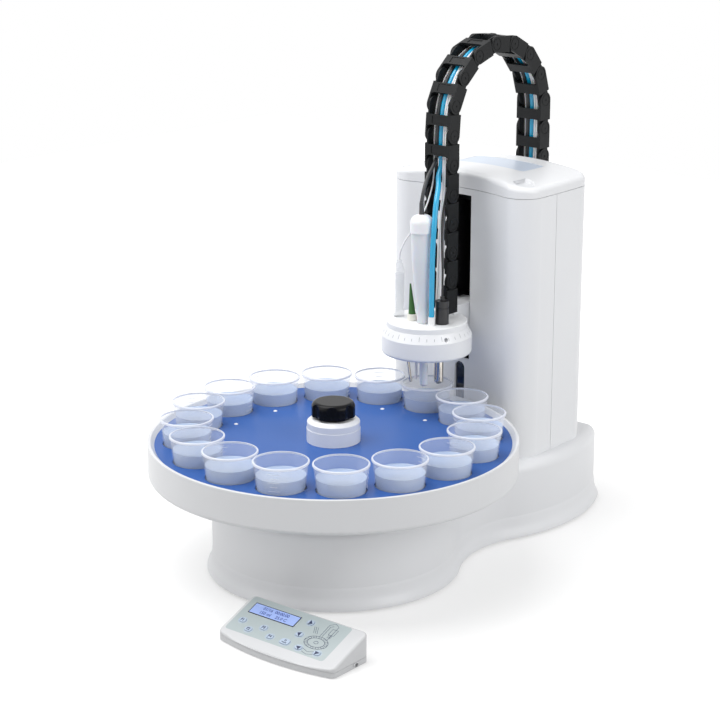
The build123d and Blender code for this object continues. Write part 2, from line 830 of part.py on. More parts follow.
knob_bottom = hub_top + part_gap
with BuildPart() as tray_knob:
    knob_lobe_z = knob_bottom + knob_foot_h
    with BuildSketch(Plane.XY.offset(knob_lobe_z)) as lobes:
        Circle(knob_r)
        with PolarLocations(knob_scallop_centre_r, knob_lobes):
            Circle(knob_scallop_r, mode=Mode.SUBTRACT)
        fillet(lobes.vertices(), knob_foot_h)
    extrude(amount=knob_top - knob_lobe_z)
    post(knob_foot_r, knob_bottom, knob_lobe_z)
    round_z = knob_top - knob_edge_r
    with BuildSketch(Plane.XZ) as dome:
        with BuildLine():
            Polyline((0, knob_bottom), (knob_r, knob_bottom), (knob_r, round_z))
            swing((knob_r - knob_edge_r, round_z), knob_edge_r, (knob_r, round_z),
                  (knob_r - knob_edge_r, knob_top))
            Polyline((knob_r - knob_edge_r, knob_top), (0, knob_top), (0, knob_bottom))
        make_face()
    revolve(dome.sketch, axis=Axis.Z, mode=Mode.INTERSECT)
    post(knob_stud_r + run_fit, knob_bottom - overrun, stud_top + part_gap, mode=Mode.SUBTRACT)
tray_knob.part.label = "tray_knob"
export_step(tray_knob.part, "parts/tray_knob.step")

# Tower shells
front_corner_x = tower_half - tower_front_corner_r
front_corner = (front_corner_x,
                sqrt((tower_front_r + tower_front_corner_r) ** 2 - front_corner_x ** 2))
tower_side_centre = (tower_half - tower_side_r, front_corner[1])
back_corner_y = tower_back_y - tower_back_corner_r
back_corner = (tower_side_centre[0]
               + sqrt((tower_side_r - tower_back_corner_r) ** 2
                      - (back_corner_y - tower_side_centre[1]) ** 2), back_corner_y)


def tower_plan(inset, height):
    """The tower's outline, drawn in by an inset, at a height"""
    corner_r = tower_front_corner_r - inset
    back_r = tower_back_corner_r - inset
    front_middle = (0, tower_front_r + inset)
    front_end = on_circle((0, 0), tower_front_r + inset, front_corner)
    side_start = (tower_half - inset, front_corner[1])
    side_end = on_circle(back_corner, -back_r, tower_side_centre)
    back_end = (back_corner[0], tower_back_y - inset)
    with BuildSketch(Plane.XY.offset(height)) as outline:
        with BuildLine():
            swing((0, 0), tower_front_r + inset, front_middle, front_end)
            corner_turn = (front_corner[0] + corner_r * cos(pi / 4),
                           front_corner[1] - corner_r * sin(pi / 4))
            ThreePointArc(front_end, corner_turn, side_start)
            swing(tower_side_centre, tower_side_r - inset, side_start, side_end)
            swing(back_corner, back_r, side_end, back_end)
            Line(back_end, (0, back_end[1]))
            mirror(about=Plane.YZ)
        make_face()
    return outline.sketch


tower_reach = tower_half + overrun
with BuildPart() as tower_front_shell:
    extrude(tower_plan(0, deck_z), amount=tower_wall_top - deck_z)
    extrude(tower_plan(wall, deck_z - overrun), amount=tower_wall_top - deck_z + 2 * overrun,
            mode=Mode.SUBTRACT)
    block((-tower_reach, tower_reach), (tower_seam_y - part_gap, tower_back_y + overrun),
          (deck_z - overrun, tower_wall_top + overrun), Mode.SUBTRACT)
    slot_y = (tower_front_r - overrun, tower_front_r + wall + overrun)
    block((-slot_half, slot_half), slot_y, (slot_bottom, slot_top), Mode.SUBTRACT)
    block((-window_slot_half, window_slot_half), slot_y,
          (window_slot_bottom, window_slot_top - window_slot_half), Mode.SUBTRACT)
    with BuildSketch(Plane.XZ.offset(-tower_front_r + overrun)) as window_arch:
        with Locations((0, window_slot_top - window_slot_half)):
            Circle(window_slot_half)
    extrude(window_arch.sketch, amount=-(wall + 2 * overrun), mode=Mode.SUBTRACT)
tower_front_shell.part.label = "tower_front_shell"
export_step(tower_front_shell.part, "parts/tower_front_shell.step")

with BuildPart() as tower_rear_shell:
    extrude(tower_plan(0, deck_z), amount=tower_wall_top - deck_z)
    extrude(tower_plan(wall, deck_z - overrun), amount=tower_wall_top - deck_z + 2 * overrun,
            mode=Mode.SUBTRACT)
    block((-tower_reach, tower_reach), (0, tower_seam_y + part_gap),
          (deck_z - overrun, tower_wall_top + overrun), Mode.SUBTRACT)
    block((-line_window_half, line_window_half),
          (tower_back_y - wall - overrun, tower_back_y + overrun), line_window_z, Mode.SUBTRACT)
tower_rear_shell.part.label = "tower_rear_shell"
export_step(tower_rear_shell.part, "parts/tower_rear_shell.step")

crown_drop = tower_lid_peak - tower_lid_edge_z
crown_r = (tower_half ** 2 + crown_drop ** 2) / crown_drop / 2
with BuildPart() as label_cut:
    with BuildSketch(Plane.XY.offset(tower_lid_edge_z)) as label:
        with Locations((0, label_y)):
            RectangleRounded(label_w, label_h, label_corner_r)
    extrude(amount=crown_drop + overrun)
    with BuildSketch(Plane.XZ) as label_floor:
        with Locations((0, tower_lid_peak - crown_r)):
            Circle(crown_r - label_depth)
    extrude(amount=-(tower_back_y + overrun), mode=Mode.SUBTRACT)

with BuildPart() as tower_lid:
    lid_bottom = tower_wall_top + lid_seam
    extrude(tower_plan(0, lid_bottom), amount=tower_lid_peak - lid_bottom)
    with BuildSketch(Plane.XZ) as crown:
        with Locations((0, tower_lid_peak - crown_r)):
            Circle(crown_r)
    extrude(crown.sketch, amount=-(tower_back_y + overrun), mode=Mode.INTERSECT)
    top_edges = tower_lid.faces().sort_by(Axis.Z)[-1].outer_wire().edges()
    fillet(top_edges, tower_lid_round)
    extrude(tower_plan(wall + thrust_gap, tower_wall_top - lid_lip_h), amount=lid_lip_h + lid_seam)
    extrude(tower_plan(wall + lid_lip_w, tower_wall_top - lid_lip_h - overrun),
            amount=tower_lid_edge_z - tower_lid_round - wall - tower_wall_top + lid_lip_h + overrun,
            mode=Mode.SUBTRACT)
    for side in (1, -1):
        recess_plane = Plane(origin=(side * recess_x, recess_y, recess_floor),
                             x_dir=(cos(radians(side * recess_turn)),
                                    sin(radians(side * recess_turn)), 0), z_dir=(0, 0, 1))
        with BuildSketch(recess_plane) as bowl:
            Ellipse(recess_length / 2, recess_width / 2)
        with BuildSketch(recess_plane.offset(2 * recess_depth)) as bowl_mouth:
            Ellipse(recess_length / 2 + recess_flare, recess_width / 2 + recess_flare)
        loft([bowl.sketch, bowl_mouth.sketch], mode=Mode.SUBTRACT)
    add(label_cut.part, mode=Mode.SUBTRACT)
tower_lid.part.label = "tower_lid"
export_step(tower_lid.part, "parts/tower_lid.step")

with BuildPart() as sensor_window:
    window_margin = window_slot_half + window_plate_margin
    for inset, mode in ((wall, Mode.ADD), (wall + window_plate_h, Mode.SUBTRACT)):
        with BuildSketch(Plane.XY.offset(window_slot_bottom)) as ring:
            Circle(tower_front_r + 2 * wall)
            Circle(tower_front_r + inset, mode=Mode.SUBTRACT)
            with Locations((0, tower_front_r)):
                Rectangle(2 * window_margin, 2 * tower_half, mode=Mode.INTERSECT)
        extrude(ring.sketch, amount=window_slot_top + part_gap - window_slot_bottom, mode=mode)
sensor_window.part.label = "sensor_window"
export_step(sensor_window.part, "parts/sensor_window.step")

# Lift column: an upright channel, open towards the slot, with two shelves
column_in = column_half - column_wall
with BuildPart() as lift_column:
    block((-column_half, column_half), (column_front_y, column_back_y), (plate_top, column_top))
    block((-column_in, column_in), (column_front_y - overrun, column_back_y - column_wall),
          (plate_top - overrun, column_top + overrun), Mode.SUBTRACT)
    for z in (lower_shelf_z, upper_shelf_z):
        block((-column_in, column_in), (carriage_y[0], column_back_y - column_wall),
              (z, z + shelf_h))
        post(rod_r, z - overrun, z + shelf_h + overrun, [(-rod_x, rod_y), (rod_x, rod_y)],
             Mode.SUBTRACT)
    post(motor_boss_r, lower_shelf_z - overrun, lower_shelf_z + shelf_h + overrun,
         [(0, screw_axis_y)], Mode.SUBTRACT)
    post(lead_screw_r + run_fit, upper_shelf_z - overrun, upper_shelf_z + shelf_h + overrun,
         [(0, screw_axis_y)], Mode.SUBTRACT)
    for side in (-1, 1):
        inner, outer = sorted((side * column_in, side * column_foot_half))
        block((inner, outer), (column_front_y, column_back_y),
              (plate_top, plate_top + column_foot_h))
    block((-line_window_half, line_window_half),
          (column_back_y - column_wall - overrun, column_back_y + overrun),
          (line_end_z - line_window_half, line_end_z + line_window_half), Mode.SUBTRACT)
lift_column.part.label = "lift_column"
export_step(lift_column.part, "parts/lift_column.step")

with BuildPart() as guide_rods:
    post(rod_r, lower_shelf_z, upper_shelf_z + shelf_h, [(-rod_x, rod_y), (rod_x, rod_y)])
guide_rods.part.label = "guide_rods"
export_step(guide_rods.part, "parts/guide_rods.step")

lift_motor_bottom = lower_shelf_z - motor_height
with BuildPart() as lift_motor:
    stepper((0, screw_axis_y), lift_motor_bottom)
lift_motor.part.label = "lift_motor"
export_step(lift_motor.part, "parts/lift_motor.step")

screw_start = lower_shelf_z + motor_boss_h + thrust_gap
with BuildPart() as lead_screw:
    turned([(0, lower_shelf_z - motor_end_h), (motor_shaft_r, lower_shelf_z - motor_end_h),
            (motor_shaft_r, screw_start), (lead_screw_r, screw_start),
            (lead_screw_r, upper_shelf_z + shelf_h), (0, upper_shelf_z + shelf_h)],
           (0, screw_axis_y))
lead_screw.part.label = "lead_screw"
export_step(lead_screw.part, "parts/lead_screw.step")

# Carriage with its bushes and nut, and the arm through the slot
rods_at = [(-rod_x, rod_y), (rod_x, rod_y)]
with BuildPart() as carriage:
    block((-carriage_half, carriage_half), carriage_y, carriage_z)
    chamfer(carriage.edges().filter_by(Axis.Z), nut_flange_h)
    post(carriage_bush_r, carriage_z[0] - overrun, carriage_z[1] + overrun, rods_at,
         Mode.SUBTRACT)
    post(nut_r, carriage_z[0] - overrun, carriage_z[1] + overrun, [(0, screw_axis_y)],
         Mode.SUBTRACT)
carriage.part.label = "carriage"
export_step(carriage.part, "parts/carriage.step")

with BuildPart() as carriage_bushes:
    post(carriage_bush_r, *carriage_z, rods_at)
    post(nut_r, *carriage_z, [(0, screw_axis_y)])
    post(nut_flange_r, carriage_z[0] - nut_flange_h, carriage_z[0], [(0, screw_axis_y)])
    post(rod_r + run_fit, carriage_z[0] - overrun, carriage_z[1] + overrun, rods_at,
         Mode.SUBTRACT)
    post(lead_screw_r + run_fit, carriage_z[0] - nut_flange_h - overrun,
         carriage_z[1] + overrun, [(0, screw_axis_y)], Mode.SUBTRACT)
carriage_bushes.part.label = "carriage_bushes"
export_step(carriage_bushes.part, "parts/carriage_bushes.step")

head_at = (0, head_y)
arm_root_y = head_y + collar_top_r - 2 * arm_nose_r
with BuildPart() as lift_arm:
    block((-arm_half, arm_half), (arm_front_y, carriage_y[0]), (arm_shelf_z, carriage_z[1]))
    block((-arm_half, arm_half), (arm_root_y, carriage_y[0]), (carriage_z[0], arm_shelf_z))
    post(collar_r, carriage_z[0] - overrun, collar_edge, [head_at], Mode.SUBTRACT)
    turned([(0, collar_edge), (collar_r, collar_edge), (collar_top_r, collar_top),
            (disc_r, collar_top), (disc_r, arm_shelf_z), (0, arm_shelf_z)], head_at,
           mode=Mode.SUBTRACT)
    nose_edges = lift_arm.edges().filter_by(Axis.X).group_by(Axis.Z)[-1].sort_by(Axis.Y)[0]
    fillet(nose_edges, nut_flange_h)
lift_arm.part.label = "lift_arm"
export_step(lift_arm.part, "parts/lift_arm.step")

# Head: collar, disc and what stands in it
with BuildPart() as head_collar:
    turned([(collar_bore_r, collar_bottom), (collar_r, collar_bottom), (collar_r, collar_edge),
            (collar_top_r, collar_top), (collar_bore_r, collar_top)], head_at)
    rings = head_collar.edges().filter_by(GeomType.CIRCLE)
    fillet(rings.group_by(Axis.Z)[0].sort_by(SortBy.RADIUS)[-1], collar_round)
    set_screw_plane = Plane(
        origin=(0, head_y, set_screw_z),
        x_dir=(-sin(radians(set_screw_angle)), cos(radians(set_screw_angle)), 0),
        z_dir=(cos(radians(set_screw_angle)), sin(radians(set_screw_angle)), 0))
    with BuildSketch(set_screw_plane.offset(collar_bore_r + wall)) as screw_hole:
        Circle(set_screw_r)
    extrude(screw_hole.sketch, amount=collar_r - collar_bore_r, mode=Mode.SUBTRACT)
head_collar.part.label = "head_collar"
export_step(head_collar.part, "parts/head_collar.step")

stem_depth = disc_top - probe_tip_z
with BuildPart() as head_disc:
    turned([(0, disc_under), (collar_bore_r, disc_under), (collar_bore_r, collar_top),
            (disc_r, collar_top), (disc_r, disc_top), (0, disc_top)], head_at)
    disc_edges = head_disc.edges().filter_by(GeomType.CIRCLE).group_by(Axis.Z)[-1]
    fillet(disc_edges, disc_round)
    post(hose_fitting_r, disc_top, hose_fitting_top, [hose_foot])
    turned([(0, -stem_depth), (electrode_stem_r + run_fit, -stem_depth),
            (electrode_stem_r + run_fit, disc_h), (0, disc_h)], electrode_foot,
           electrode_lean, disc_top, Mode.SUBTRACT)
head_disc.part.label = "head_disc"
export_step(head_disc.part, "parts/head_disc.step")

taper_end, body_end = electrode_taper_z - disc_top, electrode_cap_z - disc_top
body_start = electrode_foot_r * sin(radians(-electrode_lean)) + thrust_gap
with BuildPart() as electrode_shaft:
    tip_round = electrode_stem_r / 2
    turned([(0, -stem_depth), (tip_round, -stem_depth), (electrode_stem_r, tip_round - stem_depth),
            (electrode_stem_r, body_start), (electrode_foot_r, body_start),
            (electrode_body_r, taper_end), (electrode_body_r, body_end), (0, body_end)],
           electrode_foot, electrode_lean, disc_top)
electrode_shaft.part.label = "electrode_shaft"
export_step(electrode_shaft.part, "parts/electrode_shaft.step")

cap_end = electrode_top_z - disc_top
dome_share = 0.75
dome_r = electrode_cap_r * dome_share
with BuildPart() as electrode_cap:
    with BuildSketch(upright(electrode_foot, electrode_lean, disc_top)) as cap_half:
        with BuildLine():
            Polyline((0, cap_end), (0, body_end), (electrode_cap_r, body_end),
                     (electrode_cap_r, cap_end - dome_r))
            swing((electrode_cap_r - dome_r, cap_end - dome_r), dome_r,
                  (electrode_cap_r, cap_end - dome_r), (electrode_cap_r - dome_r, cap_end))
            Line((electrode_cap_r - dome_r, cap_end), (0, cap_end))
        make_face()
    cap_plane = upright(electrode_foot, electrode_lean, disc_top)
    revolve(cap_half.sketch, axis=Axis(cap_plane.origin, cap_plane.y_dir))
electrode_cap.part.label = "electrode_cap"
export_step(electrode_cap.part, "parts/electrode_cap.step")

with BuildPart() as green_plug:
    turned([(0, disc_top), (plug_foot_r, disc_top), (plug_foot_r, plug_foot_top),
            (0, plug_foot_top)], plug_at)
    plug_start = plug_foot_top + plug_r * sin(radians(-plug_lean)) + thrust_gap
    turned([(0, 0), (plug_r, 0), (plug_tip_r, plug_tip_z - plug_start),
            (0, plug_tip_z - plug_start)], plug_at, plug_lean, plug_start)
green_plug.part.label = "green_plug"
export_step(green_plug.part, "parts/green_plug.step")

with BuildPart() as glass_vial:
    vial_bore = vial_r - vial_wall
    turned([(0, disc_top), (vial_r, disc_top), (vial_r, vial_top), (vial_bore, vial_top),
            (vial_bore, disc_top + vial_wall), (0, disc_top + vial_wall)], vial_at)
    for radius, low, high in zip(vial_cap_radii, vial_cap_steps, vial_cap_steps[1:]):
        post(radius, vial_top + low, vial_top + high, [vial_at])
glass_vial.part.label = "glass_vial"
export_step(glass_vial.part, "parts/glass_vial.step")

groove_r = connector_r - connector_groove_depth
groove_top = connector_groove_z + connector_groove_h
relief_top = connector_top_z + connector_relief_h
with BuildPart() as probe_connector:
    turned([(0, disc_top), (connector_r, disc_top), (connector_r, connector_groove_z),
            (groove_r, connector_groove_z), (groove_r, groove_top), (connector_r, groove_top),
            (connector_r, connector_top_z), (connector_relief_r, connector_top_z),
            (connector_relief_r, relief_top), (0, relief_top)], connector_at)
probe_connector.part.label = "probe_connector"
export_step(probe_connector.part, "parts/probe_connector.step")

thin_rod_rise = disc_under - probe_tip_z
thin_rod_run = thin_rod_tip[0] - thin_rod_top[0]
thin_rod_lean = -degrees(atan2(thin_rod_run, thin_rod_rise))
thin_rod_length = hypot(thin_rod_rise, thin_rod_run) - link_joint_gap
with BuildPart() as steel_rods:
    turned([(0, probe_tip_z), (steel_rod_r / 2, probe_tip_z),
            (steel_rod_r, probe_tip_z + steel_rod_r / 2), (steel_rod_r, disc_under),
            (0, disc_under)], steel_rod_at)
    turned([(0, 0), (thin_rod_r, 0), (thin_rod_r, thin_rod_length), (0, thin_rod_length)],
           thin_rod_tip, thin_rod_lean, probe_tip_z)
steel_rods.part.label = "steel_rods"
export_step(steel_rods.part, "parts/steel_rods.step")

# Chain links, each with a tongue at its start and a fork with pins at its end
thick_start = link_thick_half + link_joint_gap
thick_end = pitch - thick_start
fork_in = link_in_half + tongue_w + part_gap
bar_z = (pitch / 2 - bar_half, pitch / 2 + bar_half)


def chain_link(outer_bar=True, pinned=True, fork=True):
    """One link, starting at its first pivot on the X axis and running up along Z"""
    with BuildPart() as link:
        for side in (-1, 1):
            inner_face = Plane(origin=(side * link_in_half, 0, 0), x_dir=(0, 1, 0),
                               z_dir=(side, 0, 0))
            with BuildSketch(inner_face) as tongue:
                Circle(link_thick_half)
                with Locations((0, side * thick_start / 2)):
                    Rectangle(2 * link_thick_half, thick_start)
                Circle(link_pin_r + run_fit, mode=Mode.SUBTRACT)
            extrude(tongue.sketch, amount=tongue_w)
            with BuildSketch(inner_face) as plate:
                with Locations((0, side * pitch / 2)):
                    Rectangle(2 * link_thick_half, thick_end - thick_start)
            extrude(plate.sketch, amount=link_half - link_in_half)
            if fork:
                with BuildSketch(inner_face.offset(fork_in - link_in_half)) as ear:
                    with Locations((0, side * (pitch + thick_end) / 2)):
                        Rectangle(2 * link_thick_half, pitch - thick_end)
                    with Locations((0, side * pitch)):
                        Circle(link_thick_half)
                extrude(ear.sketch, amount=link_half - fork_in)
                with BuildSketch(inner_face.offset(link_half - link_in_half)) as ring:
                    with Locations((0, side * pitch)):
                        Circle(link_disc_r)
                        Circle(link_disc_r - link_disc_groove, mode=Mode.SUBTRACT)
                        Circle(link_eye_r)
                extrude(ring.sketch, amount=-link_disc_depth, mode=Mode.SUBTRACT)
            if fork and pinned:
                with BuildSketch(inner_face.offset(part_gap)) as pin:
                    with Locations((0, side * pitch)):
                        Circle(link_pin_r)
                extrude(pin.sketch, amount=fork_in - link_in_half - part_gap)
        block((-link_in_half, link_in_half), (-link_thick_half, bar_h - link_thick_half),
              bar_z)
        if outer_bar:
            block((-link_in_half, link_in_half), (link_thick_half - bar_h, link_thick_half), bar_z)
            latch_z = (pitch / 2 - latch_half, pitch / 2 + latch_half)
            block((-link_in_half + latch_half, link_in_half - latch_half),
                  (link_thick_half - latch_depth, link_thick_half + overrun), latch_z,
                  Mode.SUBTRACT)
    return link.part


def set_link(link, pivot, angle):
    """A link moved to a pivot in the YZ plane and tipped from +Z towards -Y"""
    add(link.moved(Location((0, pivot[0], pivot[1]), (angle, 0, 0))))


full_link = chain_link()
open_link = chain_link(outer_bar=False)
half_turn = 180
turns = [first_turn] + [arch_turn] * arch_links + [last_turn, 0]
pivots = [(back_limb_y, first_bend_z)]
headings = []
for turn in turns:
    headings.append(turn + (headings[-1] if headings else 0))
    heading = radians(headings[-1])
    pivots.append((pivots[-1][0] - pitch * sin(heading), pivots[-1][1] + pitch * cos(heading)))
open_pivot_z = pivots[-1][1]

with BuildPart() as chain_fixed_links:
    for step in range(1, fixed_links + 1):
        set_link(full_link, (back_limb_y, first_bend_z - step * pitch), 0)
    foot_z = first_bend_z - fixed_links * pitch
    bracket_z = (foot_z - fixed_bracket_h, foot_z - thick_start)
    for side in (-1, 1):
        ear_plane = Plane(origin=(side * fork_in, 0, 0), x_dir=(0, 1, 0), z_dir=(side, 0, 0))
        with BuildSketch(ear_plane) as bracket_ear:
            with Locations((back_limb_y, side * foot_z)):
                Circle(link_thick_half)
            with Locations((back_limb_y, side * (foot_z - thick_start / 2))):
                Rectangle(2 * link_thick_half, thick_start)
        extrude(bracket_ear.sketch, amount=link_half - fork_in)
        pin_plane = Plane(origin=(side * (link_in_half + part_gap), 0, 0), x_dir=(0, 1, 0),
                          z_dir=(side, 0, 0))
        with BuildSketch(pin_plane) as bracket_pin:
            with Locations((back_limb_y, side * foot_z)):
                Circle(link_pin_r)
        extrude(bracket_pin.sketch, amount=fork_in - link_in_half - part_gap)
        block(sorted((side * fork_in, side * link_half)),
              (tower_back_y, back_limb_y + link_thick_half), bracket_z)
        block(sorted((side * fork_in, side * (link_half + fixed_flange_w))),
              (tower_back_y, tower_back_y + bar_h), bracket_z)
    block((-link_half, link_half), (back_limb_y + link_thick_half - bar_h,
                                    back_limb_y + link_thick_half), bracket_z)
chain_fixed_links.part.label = "chain_fixed_links"
export_step(chain_fixed_links.part, "parts/chain_fixed_links.step")

with BuildPart() as chain_rear_link:
    set_link(full_link, pivots[0], headings[0])
chain_rear_link.part.label = "chain_rear_link"
export_step(chain_rear_link.part, "parts/chain_rear_link.step")

with BuildPart() as chain_arch_links:
    for pivot, heading in zip(pivots[1:1 + arch_links], headings[1:1 + arch_links]):
        set_link(full_link, pivot, heading)
chain_arch_links.part.label = "chain_arch_links"
export_step(chain_arch_links.part, "parts/chain_arch_links.step")

upper = 1 + arch_links
with BuildPart() as chain_upper_link:
    set_link(full_link, pivots[upper], headings[upper])
chain_upper_link.part.label = "chain_upper_link"
export_step(chain_upper_link.part, "parts/chain_upper_link.step")

with BuildPart() as chain_front_link:
    set_link(chain_link(outer_bar=False, pinned=False), pivots[upper + 1], headings[upper + 1])
chain_front_link.part.label = "chain_front_link"
export_step(chain_front_link.part, "parts/chain_front_link.step")

with BuildPart() as chain_lift_links:
    for step in range(lift_links):
        set_link(open_link, (pivots[-1][0], open_pivot_z - step * pitch), half_turn)
    end_z = open_pivot_z - lift_links * pitch
    limb_y = pivots[-1][0]
    for side in (-1, 1):
        ear_plane = Plane(origin=(side * link_in_half, 0, 0), x_dir=(0, 1, 0), z_dir=(side, 0, 0))
        with BuildSketch(ear_plane) as end_tongue:
            with Locations((limb_y, side * end_z)):
                Circle(link_thick_half)
            with Locations((limb_y, side * (end_z - thick_start / 2))):
                Rectangle(2 * link_thick_half, thick_start)
            with Locations((limb_y, side * end_z)):
                Circle(link_pin_r + run_fit, mode=Mode.SUBTRACT)
        extrude(end_tongue.sketch, amount=tongue_w)
    block((-link_half, link_half), (limb_y - link_thick_half, arm_front_y),
          (lift_bracket_bottom, end_z - thick_start))
    block((-link_in_half, link_in_half), (limb_y - link_thick_half - overrun, arm_front_y - bar_h),
          (lift_bracket_bottom - overrun, end_z), Mode.SUBTRACT)
chain_lift_links.part.label = "chain_lift_links"
export_step(chain_lift_links.part, "parts/chain_lift_links.step")


# Lines: hose, cables and tubes, each along its own route
def line_along(points, radius):
    """A round line of straight runs joined by arcs as large as its runs allow"""
    bends = []
    for before, here, after in zip(points, points[1:], points[2:]):
        run_in, run_out = Vector(*here) - Vector(*before), Vector(*after) - Vector(*here)
        turn = radians(run_in.get_angle(run_out))
        bends.append(bend_share * min(run_in.length, run_out.length) / tan(turn / 2))
    with BuildLine() as route:
        FilletPolyline(*points, radius=bends)
    path = route.wires()[0]
    with BuildSketch(Plane(origin=path @ 0, z_dir=path % 0)) as section:
        Circle(radius)
    sweep(section.sketch, path=path)
    print("line", round(radius, 2), "length", round(path.length, 1),
          "tightest bend", round(min(bends), 1))


def chain_route(across, inward, end_z):
    """A line's points through the chain, from the front limb over the arch to the column"""
    corners = []
    for (y, z), before, after in zip(pivots[1:-1], headings, headings[1:]):
        middle = radians((before + after) / 2)
        drift = inward / cos(radians((after - before) / 2))
        corners.append((across, y - drift * cos(middle), z - drift * sin(middle)))
    corners = [corner for corner in corners if corner[2] > end_z + pitch / 2]
    front_y = limb_y + inward
    back_y = back_limb_y - inward
    return ([(across, front_y, end_z)] + corners[::-1]
            + [(across, pivots[0][0] - inward, pivots[0][1]),
               (across, back_y, line_bend_z + inward / 3),
               (across, line_slant_y - inward / 2, line_end_z + inward),
               (across, column_back_y, line_end_z + inward)])


line_places = [(hose_x, 0, hose_r), (grey_cable_x, 0, grey_cable_r),
               (black_cable_x, 0, black_cable_r), (vial_tube_x, 0, vial_tube_r)] + [
    (across, inward, tube_r) for across in tube_x for inward in tube_in]
with BuildPart() as chain_lines:
    for across, inward, radius in line_places:
        line_along(chain_route(across, inward, line_break_z + line_break_gap), radius)
chain_lines.part.label = "chain_lines"
export_step(chain_lines.part, "parts/chain_lines.step")

# Lines on the lift: from the head into the front of the chain
cap_axis = radians(electrode_lean)
relief_top_h = cap_end + grey_relief_h
relief_at = (electrode_foot[0] + relief_top_h * sin(cap_axis), electrode_foot[1],
             disc_top + relief_top_h * cos(cap_axis))
line_start_z = disc_top + line_foot_lift
with BuildPart() as lift_lines:
    turned([(0, cap_end), (electrode_relief_r, cap_end), (electrode_relief_top_r, relief_top_h),
            (0, relief_top_h)], electrode_foot, electrode_lean, disc_top)
    line_along([(*hose_foot, hose_fitting_top + line_foot_lift), *hose_middle,
                (hose_x, limb_y, line_break_z)], hose_r)
    line_along([relief_at, *grey_cable_middle, (grey_cable_x, limb_y, line_break_z)],
               grey_cable_r)
    line_along([(*connector_at, relief_top + thrust_gap), *black_cable_middle,
                (black_cable_x, limb_y, line_break_z)], black_cable_r)
    line_along([(*vial_at, vial_top + vial_cap_steps[-1] + thrust_gap), *vial_tube_middle,
                (vial_tube_x, limb_y, line_break_z)], vial_tube_r)
    for column, across in enumerate(tube_x):
        for row, inward in enumerate(tube_in):
            foot_x = tube_foot[0] + column * tube_foot_step[0]
            foot_y = tube_foot[1] + row * tube_foot_step[1]
            tube_y = limb_y + inward
            line_along([(foot_x, foot_y, line_start_z),
                        (foot_x + tube_lean[0], foot_y + tube_lean[1], tube_rise_z[0]),
                        (across + tube_lean[0], tube_y - tube_drop[0], tube_rise_z[1]),
                        (across, tube_y - tube_drop[1], tube_rise_z[2]),
                        (across, tube_y, line_break_z)], tube_r)
    block((-link_in_half, link_in_half), (limb_y - link_thick_half, limb_y + link_thick_half),
          (line_break_z, line_break_z + overrun), Mode.SUBTRACT)
    post(dip_tube_r, probe_tip_z, disc_under, dip_tubes)
lift_lines.part.label = "lift_lines"
export_step(lift_lines.part, "parts/lift_lines.step")

# Keypad: a wedge of two shells with a printed overlay, a display and nine keys
keypad_angle = radians(keypad_turn)
keypad_x = (cos(keypad_angle), sin(keypad_angle), 0)
slope = atan2(keypad_rear_h - keypad_front_h, keypad_slope_run)
keypad_plane = Plane(origin=(*keypad_at, 0), x_dir=keypad_x, z_dir=(0, 0, 1))
top_plane = Plane(origin=(*keypad_at, keypad_rear_h), x_dir=keypad_x,
                  z_dir=(sin(slope) * sin(keypad_angle), -sin(slope) * cos(keypad_angle),
                         cos(slope)))
cover_bottom = keypad_split_z + part_gap


def keypad_plan(inset, height):
    """The keypad's outline with its bulging front edge, drawn in by an inset, at a height"""
    with BuildSketch(keypad_plane.offset(height)) as outline:
        with BuildLine():
            Polyline((-keypad_half, -keypad_depth), (-keypad_half, 0), (keypad_half, 0),
                     (keypad_half, -keypad_depth))
            ThreePointArc((keypad_half, -keypad_depth), (0, -keypad_depth - keypad_bulge),
                          (-keypad_half, -keypad_depth))
        make_face()
        fillet(outline.vertices(), keypad_corner_r)
        if inset:
            offset(amount=-inset, mode=Mode.REPLACE)
    return outline.sketch


def key_outline(name, spread):
    """A key's rounded outline on the top plane, grown by a clearance"""
    width, height = (pause_w, pause_h) if name == "key_pause" else (key_w, key_h)
    with Locations(key_places[name]):
        RectangleRounded(width + 2 * spread, height + 2 * spread, key_corner_r + spread)


with BuildPart() as keypad_base:
    extrude(keypad_plan(0, keypad_floor), amount=keypad_split_z - keypad_floor)
    extrude(keypad_plan(keypad_wall, keypad_floor_top), amount=keypad_split_z,
            mode=Mode.SUBTRACT)
    jack_in = keypad_half - keypad_wall - jack_depth
    with BuildSketch(keypad_plane.offset(keypad_floor_top - part_gap)) as jack_block:
        with Locations((jack_in + (jack_depth + wall) / 2, jack_y)):
            Rectangle(jack_depth + wall, 2 * jack_boss)
    extrude(jack_block.sketch, amount=keypad_split_z - keypad_floor_top)
    with BuildSketch(keypad_plane) as pads:
        with Locations(*[(side * keypad_foot_x, y) for side in (-1, 1) for y in keypad_foot_y]):
            Circle(keypad_foot_r)
    extrude(pads.sketch, amount=keypad_floor)
    jack_origin = keypad_plane.from_local_coords((keypad_half + overrun, jack_y, jack_z))
    with BuildSketch(Plane(origin=jack_origin, z_dir=keypad_x)) as jack_hole:
        Circle(jack_r)
    extrude(jack_hole.sketch, amount=-(jack_depth + overrun), mode=Mode.SUBTRACT)
keypad_base.part.label = "keypad_base"
export_step(keypad_base.part, "parts/keypad_base.step")

with BuildPart() as keypad_cavity:
    extrude(keypad_plan(keypad_wall, cover_bottom - overrun), amount=keypad_rear_h)
    with BuildSketch(top_plane.offset(-keypad_wall - overlay_h)) as sheet:
        Rectangle(4 * keypad_half, 4 * keypad_half)
    extrude(sheet.sketch, amount=2 * keypad_rear_h, mode=Mode.SUBTRACT)

